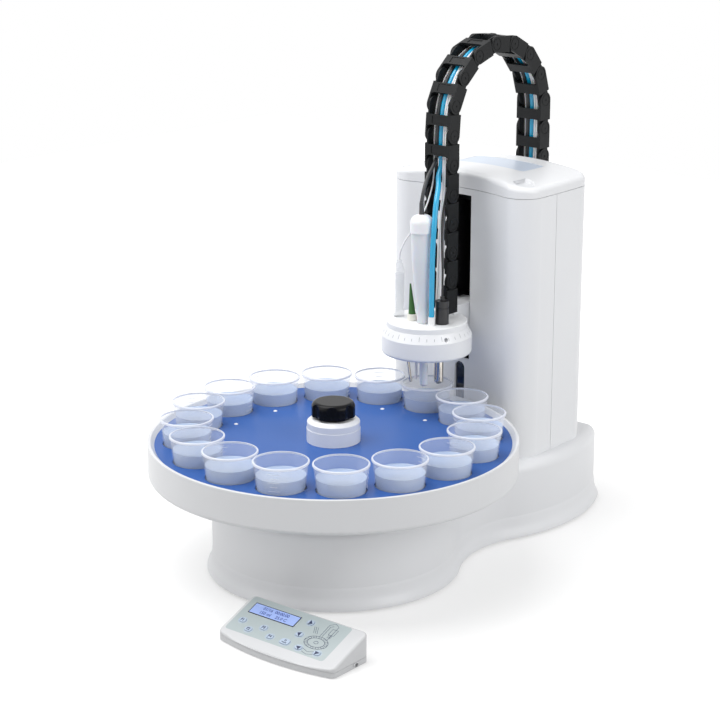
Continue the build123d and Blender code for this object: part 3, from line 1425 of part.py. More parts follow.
board_under = -keypad_board_under - keypad_board_h
board_spots = [(x, y) for x in (overlay_left + key_w, overlay_right - key_w)
               for y in (-overlay_rear - key_h, -overlay_front + key_h)]
with BuildPart() as above_cover:
    extrude(keypad_plan(-overrun, keypad_lip_top), amount=keypad_rear_h)
    with BuildSketch(top_plane) as sheet:
        Rectangle(4 * keypad_half, 4 * keypad_half)
    extrude(sheet.sketch, amount=-2 * keypad_rear_h, mode=Mode.SUBTRACT)
with BuildPart() as keypad_cover:
    extrude(keypad_plan(0, cover_bottom), amount=keypad_rear_h)
    add(above_cover.part, mode=Mode.SUBTRACT)
    slanted = keypad_cover.faces().filter_by(top_plane)[0]
    ridge = [edge for edge in slanted.edges() if edge.center().Z > keypad_lip_top + part_gap]
    fillet(ridge, keypad_round)
    add(keypad_cavity.part, mode=Mode.SUBTRACT)
    with BuildSketch(top_plane.offset(-keypad_board_under)) as pillars:
        with Locations(*board_spots):
            Circle(keypad_post_r)
    extrude(pillars.sketch, amount=keypad_board_under - overlay_h)
    overlay_w, overlay_d = overlay_right - overlay_left, overlay_front - overlay_rear
    overlay_middle = ((overlay_left + overlay_right) / 2, -(overlay_front + overlay_rear) / 2)
    with BuildSketch(top_plane.offset(-overlay_h)) as overlay_bed:
        with Locations(overlay_middle):
            RectangleRounded(overlay_w, overlay_d, overlay_corner_r)
    extrude(overlay_bed.sketch, amount=overlay_h + overrun, mode=Mode.SUBTRACT)
    with BuildSketch(top_plane.offset(-keypad_board_under - thrust_gap)) as openings:
        for name in key_places:
            key_outline(name, part_gap)
        with Locations(lcd_at):
            Rectangle(lcd_w + 2 * thrust_gap, lcd_h + 2 * thrust_gap)
    extrude(openings.sketch, amount=keypad_board_under + overrun, mode=Mode.SUBTRACT)
keypad_cover.part.label = "keypad_cover"
export_step(keypad_cover.part, "parts/keypad_cover.step")

with BuildPart() as keypad_overlay:
    with BuildSketch(top_plane.offset(-overlay_h)) as sheet:
        with Locations(overlay_middle):
            RectangleRounded(overlay_w, overlay_d, overlay_corner_r)
    extrude(sheet.sketch, amount=overlay_h)
    with BuildSketch(top_plane.offset(-overlay_h - overrun)) as windows:
        for name in key_places:
            key_outline(name, part_gap)
        with Locations(lcd_at):
            Rectangle(lcd_w + 2 * thrust_gap, lcd_h + 2 * thrust_gap)
    extrude(windows.sketch, amount=overlay_h + 2 * overrun, mode=Mode.SUBTRACT)
keypad_overlay.part.label = "keypad_overlay"
export_step(keypad_overlay.part, "parts/keypad_overlay.step")

with BuildPart() as lcd_window:
    with BuildSketch(top_plane.offset(-keypad_board_under)) as frame:
        with Locations(lcd_at):
            Rectangle(lcd_w, lcd_h)
    extrude(frame.sketch, amount=keypad_board_under + line_foot_lift)
    with BuildSketch(top_plane.offset(line_foot_lift - lcd_glass_drop)) as view:
        with Locations(lcd_at):
            Rectangle(lcd_view_w, lcd_view_h)
    extrude(view.sketch, amount=lcd_glass_drop + overrun, mode=Mode.SUBTRACT)
lcd_window.part.label = "lcd_window"
export_step(lcd_window.part, "parts/lcd_window.step")

dome_top = -key_depth - key_travel - part_gap
with BuildPart() as keypad_board:
    with BuildSketch(top_plane.offset(board_under)) as board:
        with Locations(overlay_middle):
            Rectangle(overlay_w - key_h, overlay_d - key_h)
    extrude(board.sketch, amount=keypad_board_h)
    with BuildSketch(top_plane.offset(-keypad_board_under)) as domes:
        with Locations(*key_places.values()):
            Circle(keypad_post_r)
    extrude(domes.sketch, amount=keypad_board_under + dome_top)
keypad_board.part.label = "keypad_board"
export_step(keypad_board.part, "parts/keypad_board.step")

for name in key_places:
    with BuildPart() as key:
        with BuildSketch(top_plane.offset(-key_depth)) as cap:
            key_outline(name, 0)
        extrude(cap.sketch, amount=key_depth + key_rise)
        key_top = key.faces().sort_by(Axis(top_plane.origin, top_plane.z_dir))[-1]
        fillet(key_top.edges(), key_round)
    key.part.label = name
    export_step(key.part, f"parts/{name}.step")
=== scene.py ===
import json
import math
import random

import bmesh
import bpy
from mathutils import Matrix, Vector
from mathutils.bvhtree import BVHTree


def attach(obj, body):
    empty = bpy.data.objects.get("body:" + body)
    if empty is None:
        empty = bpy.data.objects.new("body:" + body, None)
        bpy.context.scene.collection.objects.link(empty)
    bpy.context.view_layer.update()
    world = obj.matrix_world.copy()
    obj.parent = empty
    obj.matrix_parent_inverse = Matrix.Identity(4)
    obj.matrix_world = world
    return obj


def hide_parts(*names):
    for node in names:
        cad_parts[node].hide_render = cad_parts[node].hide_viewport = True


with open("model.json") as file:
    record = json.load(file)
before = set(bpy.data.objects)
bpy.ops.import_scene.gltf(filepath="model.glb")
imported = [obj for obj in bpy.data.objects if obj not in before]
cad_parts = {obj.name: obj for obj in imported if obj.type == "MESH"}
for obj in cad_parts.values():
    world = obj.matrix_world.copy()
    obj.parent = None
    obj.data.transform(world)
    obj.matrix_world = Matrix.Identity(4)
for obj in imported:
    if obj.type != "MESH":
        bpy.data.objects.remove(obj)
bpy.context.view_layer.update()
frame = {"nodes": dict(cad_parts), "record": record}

bl_info = {
    "name": "Autosampler dressing",
    "version": (1, 0, 0),
    "blender": (4, 5, 0),
    "location": "View3D > Sidebar > Autosampler",
    "description": "Finishes, water, lines, prints and stage for a titration autosampler",
    "category": "Object",
}

# The object's own sizes are in millimetres. Those of the camera, the floor, the lights, the
# keypad's corner and the two limits for joining and cutting meshes are in metres.
MM = 0.001
MICRON = 0.000001
WELD_DISTANCE = 1e-6
CUT_SLACK = 1e-7
NODES = frame["nodes"]

# Noise between which a finish goes from its smoothest to its roughest patches
PATCH_LOW = 0.25
PATCH_HIGH = 0.75

# The camera that the object is seen from
CAMERA_AZIMUTH = math.radians(41.445)
CAMERA_ELEVATION = math.radians(16.45)
CAMERA_DISTANCE = 2.3935
CAMERA_SIDE_SHIFT = 0.031416
CAMERA_AIM_HEIGHT = 0.2571
CAMERA_LENS_MM = 101.946
CAMERA_SENSOR_MM = 36

# The keypad's sloping top, in the object's frame
KEYPAD_TURN = math.radians(2.26)
KEYPAD_SLOPE = math.atan2(25, 64)
KEYPAD_ORIGIN = Vector((0.132, -0.1842, 0.035))
KEYPAD_X = Vector((math.cos(KEYPAD_TURN), math.sin(KEYPAD_TURN), 0))
KEYPAD_NORMAL = Vector((math.sin(KEYPAD_SLOPE) * math.sin(KEYPAD_TURN),
                        -math.sin(KEYPAD_SLOPE) * math.cos(KEYPAD_TURN),
                        math.cos(KEYPAD_SLOPE)))
KEYPAD_Y = KEYPAD_NORMAL.cross(KEYPAD_X)
PRINT_HALF = 0.06
FILM_RISE = 0.02

# Keys: half sizes, printed surrounds, which are wider at the pause key, and middles
KEY_RISE = 1.1
KEY_GAP = 0.25
KEY_HALF = (4.3, 3.0)
KEY_SURROUND = (6.4, 5.3)
PAUSE_HALF = (6.0, 3.8)
PAUSE_SURROUND = (8.0, 5.9)
KEY_MIDDLES = {
    "key_f1": (-65.8, -41), "key_f2": (-49.6, -50.5), "key_f3": (-33.9, -41.9),
    "key_f4": (-18.1, -50.4), "key_pause": (3.6, -50.4), "key_up": (12.2, -14.5),
    "key_down": (11.6, -34.6), "key_left": (24, -51.8), "key_right": (49.6, -51)}
ARROW_TURNS = {"key_up": 20, "key_down": 200, "key_left": 75, "key_right": 285}
ARROW_CORNERS = (90, 222, 318)
ARROW_REACH = 3.7
SIGN_HEIGHT = 5.0

# Display: its middle, half sizes and rows of words, each with its height over the middle
DISPLAY_MIDDLE = (-36.3, -19.6)
DISPLAY_HALF = (32.2, 7.3)
DISPLAY_RISE = 0.3
DISPLAY_ROWS = {"01/16  00:00:00": 3.2, "150 ml    25.0 C": -3.4}
ROW_HEIGHT = 6.0

# Line picture on the keypad: the half sizes of a tray with its cups and hub, and the
# strokes of what stands over it
PICTURE_MIDDLE = (37.5, -37.5)
PICTURE_FLATNESS = 0.6
PICTURE_TRAY = (15.5, 11)
PICTURE_CUPS = 12
PICTURE_CUP_RING = (13.2, 7.9)
PICTURE_CUP = (1.9, 1.3)
PICTURE_HUB = (2.8, 1.9)
PICTURE_COLUMN = [(35, -27), (35, -9), (41, -5), (47, -8), (47, -30)]
PICTURE_ARM = [(38, -27), (38, -11), (41, -9)]
PICTURE_HEAD = [(42.5, -13), (42.5, -22), (50, -22), (50, -13), (42.5, -13)]
PICTURE_PROBES = [[(x, -22), (x, -27)] for x in (44.2, 46.2, 48.2)]
PICTURE_SLASHES = [[(x, -17), (x + 5, -26)] for x in (20, 22.5, 25)]
PICTURE_BASE = [[(29, -50), (37, -53), (45, -50)], [(30, -54.5), (38, -56.5), (46, -54)]]

# Cups: their ring, their sloping inner wall and their floor
CUP_COUNT = 16
CUP_RING_R = 173.3
CUP_BOTTOM_Z = 124.5
CUP_INNER_FOOT_R = 24
CUP_INNER_SLOPE = 6.2 / 62.9
CUP_FLOOR_Z = 125.7
CUP_WALL = 1.0

# Raised lines on a cup, from the lowest up, by half their lengths
MARK_FOOT_Z = 163
MARK_PITCH = 5
MARK_HALVES = (7, 4, 7, 4, 7)
MARK_SEED = 7

# Label on the lid
LABEL_MIDDLE_Y = 313
LABEL_HALF_X = 53.3
LABEL_HALF_Y = 22.3
LABEL_CORNER = 4.5
LABEL_RISE = 0.2
LABEL_SINK = -0.05
OVER_LID_Z = 600

# Probe head: its middle, the marks round its collar and the seat of the green plug
HEAD_Y = 171.5
OUTSIDE_COLLAR_R = 80
TICK_FOOT_Z = 257.4
TICK_TOP_Z = 260.6
LONG_TICK_TOP_Z = 262.6
LONG_TICK_EVERY = 3
TICK_RISE = 0.05
TICK_SINK = 0.1
PLUG_MIDDLE = (-10.1, 155.5)
SEAT_BORE_R = 5.62
SEAT_OUTER_R = 5.85
SEAT_MOUTH_R = 4.55
SEAT_FOOT_Z = 272.02
SEAT_TOP_Z = 280.25
SEAT_LIP = 0.2

# Lines: the height at which the lift's lines meet the chain's, where each line is across
# the chain there, and the height that only the short dip tube stays under
LINE_BREAK_Z = 468.5
BREAK_SLACK = 0.6
DIP_TUBE_TOP_Z = 260
LINE_PLACES = {"hose": -1.2, "grey_cable": -8, "black_cable": 11.6, "vial_tube": -12.2,
               "tube_inner": 4.2, "tube_outer": 7.6}

# Bends that a chain line passes, each with the line's heading there in degrees, the bodies
# that carry its stretches from the tower to the front limb, and the Y between its two limbs
CHAIN_BENDS = (("chain_bend_1", 9), ("chain_bend_2", 29.25), ("chain_bend_9", 177.75))
STRETCHES = (("fixed", "root"), ("rear_link", "rear_link_body"), ("arch", "arch_body"),
             ("upper_link", "upper_link_body"))
CHAIN_MIDDLE_Y = 290

# Floor: half its width, and its own glow, which grows from near the object to far from it
FLOOR_HALF = 2.3
GLOW_START = 0.35
GLOW_END = 1.1
GLOW_NEAR = 0.50
GLOW_FAR = 0.90

# Soft lights: name, place and width of each, and the point that all are aimed at
LIGHTS = (("Key light", (-0.7, -0.5, 2.3), 1.9), ("Side light", (2.4, 0.3, 1.3), 1.6),
          ("Front light", (-1.3, -2.3, 1.1), 1.6))
LIGHT_AIM = (0, 0.1, 0.2)

# White of the floor's glow and of the surroundings
WHITE = (1, 1, 1, 1)

# Shares of the shell's colour that the tray and the keypad's housing have: painted shade,
# darker copies of the same white that stand in for the shade on the tray's side and the
# keypad's top
TRAY_PAINTED_SHADE = 0.84
CASE_PAINTED_SHADE = 0.72


# Node groups that several finishes share

def new_group(name, inputs, outputs):
    """An empty shader node group with named inputs and outputs"""
    tree = bpy.data.node_groups.new(name, "ShaderNodeTree")
    for label, default in inputs:
        socket = tree.interface.new_socket(label, in_out="INPUT",
                                           socket_type="NodeSocketFloat")
        socket.default_value = default
    for label in outputs:
        tree.interface.new_socket(label, in_out="OUTPUT", socket_type="NodeSocketFloat")
    enter = tree.nodes.new("NodeGroupInput")
    leave = tree.nodes.new("NodeGroupOutput")
    return tree, enter, leave


def set_inputs(node, **values):
    """Sets a node's inputs by name, with _ for a space"""
    for name, value in values.items():
        node.inputs[name.replace("_", " ")].default_value = value


def math_node(tree, operation, first, second):
    """A math node fed by two sockets or numbers; gives its output socket"""
    step = tree.nodes.new("ShaderNodeMath")
    step.operation = operation
    for place, value in enumerate((first, second)):
        if isinstance(value, (int, float)):
            step.inputs[place].default_value = value
        else:
            tree.links.new(value, step.inputs[place])
    return step.outputs[0]


def noise(tree, vector, scale, detail):
    """A noise texture on a vector, scaled by a socket; gives its value's socket"""
    texture = tree.nodes.new("ShaderNodeTexNoise")
    tree.links.new(vector, texture.inputs["Vector"])
    tree.links.new(scale, texture.inputs["Scale"])
    set_inputs(texture, Detail=detail)
    return texture.outputs["Fac"]


def object_place(tree, stretch=(1, 1, 1)):
    """The object's own coordinates in metres, stretched; gives the vector's socket"""
    place = tree.nodes.new("ShaderNodeTexCoord")
    mapping = tree.nodes.new("ShaderNodeMapping")
    set_inputs(mapping, Scale=stretch)
    tree.links.new(place.outputs["Object"], mapping.inputs["Vector"])
    return mapping.outputs["Vector"]


def moulded_skin_group():
    """Fine grain of a moulded surface and the soft patches that handling leaves"""
    tree, enter, leave = new_group(
        "Moulded skin", [("Grain density", 2200.0), ("Patch density", 14.0)],
        ["Grain", "Patches"])
    place = object_place(tree)
    grain = noise(tree, place, enter.outputs["Grain density"], 3)
    patches = noise(tree, place, enter.outputs["Patch density"], 5)
    tree.links.new(grain, leave.inputs["Grain"])
    tree.links.new(patches, leave.inputs["Patches"])
    return tree


def drawn_metal_group(name, stretch):
    """Fine lines of a drawn or turned metal surface along one direction"""
    tree, enter, leave = new_group(
        name, [("Grain density", 900.0), ("Patch density", 30.0)], ["Grain", "Patches"])
    lines = noise(tree, object_place(tree, stretch), enter.outputs["Grain density"], 2)
    patches = noise(tree, object_place(tree), enter.outputs["Patch density"], 4)
    tree.links.new(lines, leave.inputs["Grain"])
    tree.links.new(math_node(tree, "MULTIPLY", lines, patches), leave.inputs["Patches"])
    return tree


def flow_lines_group():
    """Long soft ripples that flowing plastic leaves in thin clear walls"""
    tree, enter, leave = new_group(
        "Flow ripples", [("Grain density", 260.0), ("Patch density", 40.0)],
        ["Grain", "Patches"])
    ripples = noise(tree, object_place(tree, (1, 1, 0.2)), enter.outputs["Grain density"], 2)
    haze = noise(tree, object_place(tree), enter.outputs["Patch density"], 6)
    tree.links.new(ripples, leave.inputs["Grain"])
    tree.links.new(haze, leave.inputs["Patches"])
    return tree


SURFACES = {}


def surface_group(kind):
    """The shared surface of a kind, built once"""
    if kind not in SURFACES:
        if kind == "moulded":
            SURFACES[kind] = moulded_skin_group()
        elif kind == "drawn":
            SURFACES[kind] = drawn_metal_group("Drawn metal", (1, 1, 0.03))
        elif kind == "rolled":
            SURFACES[kind] = drawn_metal_group("Rolled sheet", (0.05, 1, 1))
        else:
            SURFACES[kind] = flow_lines_group()
    return SURFACES[kind]


def finish(name, colour, roughness, kind="moulded", grain=2200.0, depth=10,
           patches=14.0, tint=0.04, spread=0.08, **sockets):
    """A finish: one colour with soft tints, a range of roughness and fine relief, whose
    depth is in micrometres. Other inputs of the shader are set by name."""
    made = bpy.data.materials.new(name)
    made.use_nodes = True
    tree = made.node_tree
    shader = tree.nodes["Principled BSDF"]
    surface = tree.nodes.new("ShaderNodeGroup")
    surface.node_tree = surface_group(kind)
    set_inputs(surface, Grain_density=grain, Patch_density=patches)
    tinted = tree.nodes.new("ShaderNodeMix")
    tinted.data_type = "RGBA"
    set_inputs(tinted, A=(*colour, 1), B=(*[part * (1 - 2 * tint) for part in colour], 1))
    tree.links.new(surface.outputs["Patches"], tinted.inputs["Factor"])
    tree.links.new(tinted.outputs["Result"], shader.inputs["Base Color"])
    shine = tree.nodes.new("ShaderNodeMapRange")
    set_inputs(shine, From_Min=PATCH_LOW, From_Max=PATCH_HIGH,
               To_Min=max(0.0, roughness - spread / 2), To_Max=min(1.0, roughness + spread / 2))
    tree.links.new(surface.outputs["Patches"], shine.inputs["Value"])
    tree.links.new(shine.outputs["Result"], shader.inputs["Roughness"])
    relief = tree.nodes.new("ShaderNodeBump")
    set_inputs(relief, Strength=1, Distance=depth * MICRON)
    tree.links.new(surface.outputs["Grain"], relief.inputs["Height"])
    tree.links.new(relief.outputs["Normal"], shader.inputs["Normal"])
    set_inputs(shader, **sockets)
    return made


# Mesh helpers

def paint(nodes, *values, **sockets):
    """Gives CAD nodes one new finish"""
    material = finish(*values, **sockets)
    for node in nodes:
        NODES[node].data.materials.clear()
        NODES[node].data.materials.append(material)


def piece(name, mesh, material, body, smooth_angle=None):
    """A new piece of the object: linked, finished, riding on a body"""
    data = bpy.data.meshes.new(name)
    bmesh.ops.recalc_face_normals(mesh, faces=mesh.faces)
    mesh.to_mesh(data)
    mesh.free()
    data.materials.append(material)
    if smooth_angle is not None:
        data.shade_smooth()
        data.set_sharp_from_angle(angle=math.radians(smooth_angle))
    made = bpy.data.objects.new(name, data)
    bpy.context.scene.collection.objects.link(made)
    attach(made, body)
    return made


def lathe(mesh, profile, middle, steps):
    """Turns a closed profile of (radius, height) round an upright line, in millimetres"""
    rings = []
    for radius, height in profile:
        if radius == 0:
            rings.append([mesh.verts.new((middle[0] * MM, middle[1] * MM, height * MM))])
            continue
        ring = []
        for step in range(steps):
            angle = math.tau * step / steps
            ring.append(mesh.verts.new(((middle[0] + radius * math.cos(angle)) * MM,
                                        (middle[1] + radius * math.sin(angle)) * MM,
                                        height * MM)))
        rings.append(ring)
    for lower, upper in zip(rings, rings[1:]):
        for step in range(steps):
            after = (step + 1) % steps
            corners = [lower[step % len(lower)], lower[after % len(lower)],
                       upper[after % len(upper)], upper[step % len(upper)]]
            mesh.faces.new(list(dict.fromkeys(corners)))


def prism(mesh, tops, bottoms):
    """A closed slab between two outlines with as many points"""
    upper = [mesh.verts.new(point) for point in tops]
    lower = [mesh.verts.new(point) for point in bottoms]
    mesh.faces.new(upper)
    mesh.faces.new(lower[::-1])
    for index in range(len(upper)):
        after = (index + 1) % len(upper)
        mesh.faces.new((upper[after], upper[index], lower[index], lower[after]))


def join_rows(mesh, rows, closed=False):
    """Faces between rows of four points each, as a ring or as a bar with two ends"""
    following = rows[1:] + rows[:1] if closed else rows[1:]
    for near, far in zip(rows, following):
        for index in range(4):
            after = (index + 1) % 4
            mesh.faces.new((near[index], near[after], far[after], far[index]))
    if not closed:
        mesh.faces.new(rows[0][::-1])
        mesh.faces.new(rows[-1])


def on_keypad(x, y, lift):
    """A point over the keypad's sloping top, from millimetres"""
    return (KEYPAD_ORIGIN + KEYPAD_X * (x * MM) + KEYPAD_Y * (y * MM)
            + KEYPAD_NORMAL * (lift * MM))


def print_slab(mesh, outline, base, half=PRINT_HALF):
    """A thin printed patch on the keypad: an outline, half its thickness each way from a
    base height"""
    prism(mesh, [on_keypad(x, y, base + half) for x, y in outline],
          [on_keypad(x, y, base - half) for x, y in outline])


def print_stroke(mesh, points, width, base, closed=False):
    """A thin printed line on the keypad"""
    count = len(points)
    lefts, rights = [], []
    for index, (x, y) in enumerate(points):
        before = points[(index - 1) % count] if closed or index else (x, y)
        after = points[(index + 1) % count] if closed or index < count - 1 else (x, y)
        way = Vector((after[0] - before[0], after[1] - before[1])).normalized()
        side = Vector((-way.y, way.x)) * (width / 2)
        lefts.append((x + side.x, y + side.y))
        rights.append((x - side.x, y - side.y))
    rows = []
    for left, right in zip(lefts, rights):
        corners = ((left, PRINT_HALF), (right, PRINT_HALF), (right, -PRINT_HALF),
                   (left, -PRINT_HALF))
        rows.append([mesh.verts.new(on_keypad(*spot, base + lift)) for spot, lift in corners])
    join_rows(mesh, rows, closed)


def print_words(mesh, words, height, middle, base, heavy):
    """Letters printed on the keypad, centred on a point and made heavier all round"""
    curve = bpy.data.curves.new("words", "FONT")
    curve.body = words
    curve.size = height * MM
    curve.align_x = "CENTER"
    curve.align_y = "CENTER"
    curve.extrude = PRINT_HALF * MM
    curve.offset = heavy * MM
    curve.resolution_u = 3
    holder = bpy.data.objects.new("words", curve)
    letters = bpy.data.meshes.new_from_object(holder)
    place = Matrix.Translation(on_keypad(*middle, base)) @ Matrix(
        (KEYPAD_X, KEYPAD_Y, KEYPAD_NORMAL)).transposed().to_4x4()
    letters.transform(place)
    mesh.from_mesh(letters)
    bmesh.ops.remove_doubles(mesh, verts=mesh.verts, dist=WELD_DISTANCE)
    bpy.data.objects.remove(holder)
    bpy.data.curves.remove(curve)
    bpy.data.meshes.remove(letters)


def ring_of(middle, half_x, half_y, steps):
    """Points of an ellipse on the keypad's top"""
    angles = [math.tau * step / steps for step in range(steps)]
    return [(middle[0] + half_x * math.cos(angle), middle[1] + half_y * math.sin(angle))
            for angle in angles]


def node_tree_of(name):
    """A search tree of a CAD node's surface"""
    mesh = bmesh.new()
    mesh.from_mesh(NODES[name].data)
    tree = BVHTree.FromBMesh(mesh)
    mesh.free()
    return tree


def islands(name):
    """A CAD node's separate solids as meshes of their own"""
    whole = bmesh.new()
    whole.from_mesh(NODES[name].data)
    bmesh.ops.remove_doubles(whole, verts=whole.verts, dist=WELD_DISTANCE)
    whole.verts.ensure_lookup_table()
    seen = set()
    found = []
    for start in whole.verts:
        if start.index in seen:
            continue
        stack, group = [start], set()
        while stack:
            vert = stack.pop()
            if vert.index in seen:
                continue
            seen.add(vert.index)
            group.add(vert.index)
            stack.extend(edge.other_vert(vert) for edge in vert.link_edges)
        found.append(group)
    parts = []
    for group in found:
        part = bmesh.new()
        copies = {index: part.verts.new(whole.verts[index].co) for index in sorted(group)}
        for face in whole.faces:
            if face.verts[0].index in group:
                part.faces.new([copies[vert.index] for vert in face.verts])
        parts.append(part)
    whole.free()
    return parts


# Settings that a user would change

class AutosamplerFinishes(bpy.types.PropertyGroup):
    """Colours of the object's own finishes"""
    shell: bpy.props.FloatVectorProperty(
        name="Shell", description="White moulded housings", subtype="COLOR",
        default=(0.80, 0.81, 0.83), min=0, max=1)
    plate: bpy.props.FloatVectorProperty(
        name="Plate", description="Blue plate on the turntable", subtype="COLOR",
        default=(0.040, 0.118, 0.385), min=0, max=1)
    hose: bpy.props.FloatVectorProperty(
        name="Hose", description="Rinse hose through the chain", subtype="COLOR",
        default=(0.004, 0.38, 0.66), min=0, max=1)
    chain: bpy.props.FloatVectorProperty(
        name="Chain", description="Links of the cable chain", subtype="COLOR",
        default=(0.012, 0.013, 0.014), min=0, max=1)
    film: bpy.props.FloatVectorProperty(
        name="Keypad film", description="Printed film on the keypad", subtype="COLOR",
        default=(0.40, 0.46, 0.47), min=0, max=1)


class AutosamplerSizes(bpy.types.PropertyGroup):
    """Sizes of what the looks add to the object"""
    water_level: bpy.props.FloatProperty(
        name="Water level", description="Height of the water's surface in the cups",
        default=0.1725, min=0.13, max=0.185, unit="LENGTH")
    tick_width: bpy.props.FloatProperty(
        name="Tick width", description="Width of the marks round the probe head",
        default=0.0006, min=0.0001, max=0.003, unit="LENGTH")
    tick_count: bpy.props.IntProperty(
        name="Ticks", description="Number of marks round the probe head",
        default=36, min=4, max=120)


class AutosamplerStage(bpy.types.PropertyGroup):
    """Floor and light"""
    floor: bpy.props.FloatVectorProperty(
        name="Floor", description="Colour of the floor", subtype="COLOR",
        default=(0.50, 0.50, 0.50), min=0, max=1)
    key_power: bpy.props.FloatProperty(
        name="Key light", description="Power of the large soft light overhead", default=50,
        min=0, unit="POWER")
    side_power: bpy.props.FloatProperty(
        name="Side light", description="Power of the light from the right", default=26,
        min=0, unit="POWER")
    front_power: bpy.props.FloatProperty(
        name="Front light", description="Power of the light in front of the tower",
        default=12, min=0, unit="POWER")
    sky: bpy.props.FloatProperty(
        name="Surroundings", description="Strength of the light from all round",
        default=0.50, min=0, max=2, subtype="FACTOR")


# Operators, one for each group of pieces

class AUTOSAMPLER_OT_shells(bpy.types.Operator):
    """White housings of the base and tower, the lid's bare label and the black channel in the
    slots, black partly as the real dark liner and partly as painted shade for the slot's
    shadowed inside
    """
    bl_idname = "autosampler.shells"
    bl_label = "Housings"

    def execute(self, context):
        colours = context.scene.autosampler_finishes
        paint(["base_housing", "tower_front_shell", "tower_rear_shell", "tower_lid"],
              "White housing", colours.shell, 0.38, depth=12, tint=0.012, Coat_Weight=0.12,
              Coat_Roughness=0.25)
        # Painted shade in part: the black channel behind the tower's slot is the real dark
        # liner and also stands in for the shadow inside the slot
        paint(["lift_column"], "Black slot channel with painted shade", (0.012, 0.012, 0.014), 0.42,
              kind="drawn", depth=4)
        paint(["sensor_window"], "Smoked window", (0.008, 0.011, 0.022), 0.12, depth=1,
              Coat_Weight=0.6)
        paint(["rubber_feet"], "Foot rubber", (0.02, 0.02, 0.02), 0.75, grain=1400.0,
              depth=40)
        paint(["base_plate", "case_screws"], "Zinc sheet", (0.50, 0.51, 0.53), 0.42,
              kind="rolled", depth=4, Metallic=1.0)
        paint(["rear_sockets"], "Socket black", (0.02, 0.02, 0.022), 0.5, depth=10)
        self.label()
        return {"FINISHED"}

    def label(self):
        """The bare pale film in the lid's recess, lying on its curved floor"""
        lid = node_tree_of("tower_lid")
        film = finish("Label film", (0.60, 0.67, 0.78), 0.3, depth=3, tint=0.03)
        mesh = bmesh.new()
        columns, rows = 48, 20
        grid = {}
        for column in range(columns + 1):
            for row in range(rows + 1):
                x = -LABEL_HALF_X + 2 * LABEL_HALF_X * column / columns
                y = -LABEL_HALF_Y + 2 * LABEL_HALF_Y * row / rows
                over_x = max(0, abs(x) - (LABEL_HALF_X - LABEL_CORNER))
                over_y = max(0, abs(y) - (LABEL_HALF_Y - LABEL_CORNER))
                reach = math.hypot(over_x, over_y)
                if reach > LABEL_CORNER:
                    x -= math.copysign(over_x * (1 - LABEL_CORNER / reach), x)
                    y -= math.copysign(over_y * (1 - LABEL_CORNER / reach), y)
                spot = Vector((x * MM, (LABEL_MIDDLE_Y + y) * MM, OVER_LID_Z * MM))
                hit = lid.ray_cast(spot, Vector((0, 0, -1)))[0]
                grid[column, row] = [mesh.verts.new(hit + Vector((0, 0, lift * MM)))
                                     for lift in (LABEL_RISE, LABEL_SINK)]
        edge = [(column, 0) for column in range(columns)]
        edge += [(columns, row) for row in range(rows)]
        edge += [(column, rows) for column in range(columns, 0, -1)]
        edge += [(0, row) for row in range(rows, 0, -1)]
        for column in range(columns):
            for row in range(rows):
                around = [(column, row), (column + 1, row), (column + 1, row + 1),
                          (column, row + 1)]
                mesh.faces.new([grid[spot][0] for spot in around])
                mesh.faces.new([grid[spot][1] for spot in around[::-1]])
        for here, after in zip(edge, edge[1:] + edge[:1]):
            mesh.faces.new((grid[here][0], grid[here][1], grid[after][1], grid[after][0]))
        piece("lid_label", mesh, film, "root", smooth_angle=30)


class AUTOSAMPLER_OT_turntable(bpy.types.Operator):
    """Turntable with its glossy blue plate, pins, hub and black knob"""
    bl_idname = "autosampler.turntable"
    bl_label = "Turntable"

    def execute(self, context):
        colours = context.scene.autosampler_finishes
        # Painted shade: the tray is the shell's white, darkened by the tray's share
        paint(["tray"], "White tray with painted shade", [TRAY_PAINTED_SHADE * part for part in colours.shell], 0.34,
              depth=10, tint=0.012, Coat_Weight=0.1, Coat_Roughness=0.25)
        paint(["tray_hub"], "White hub", colours.shell, 0.3, depth=10, tint=0.012,
              Coat_Weight=0.2, Coat_Roughness=0.2)
        paint(["tray_plate"], "Blue plate", colours.plate, 0.22, depth=2, tint=0.04,
              spread=0.06, Specular_IOR_Level=0.07)
        paint(["plate_pins"], "White pins", (0.8, 0.8, 0.82), 0.4)
        paint(["tray_knob"], "Black knob", (0.006, 0.006, 0.007), 0.2, depth=6, spread=0.1,
              Specular_IOR_Level=0.12)
        return {"FINISHED"}


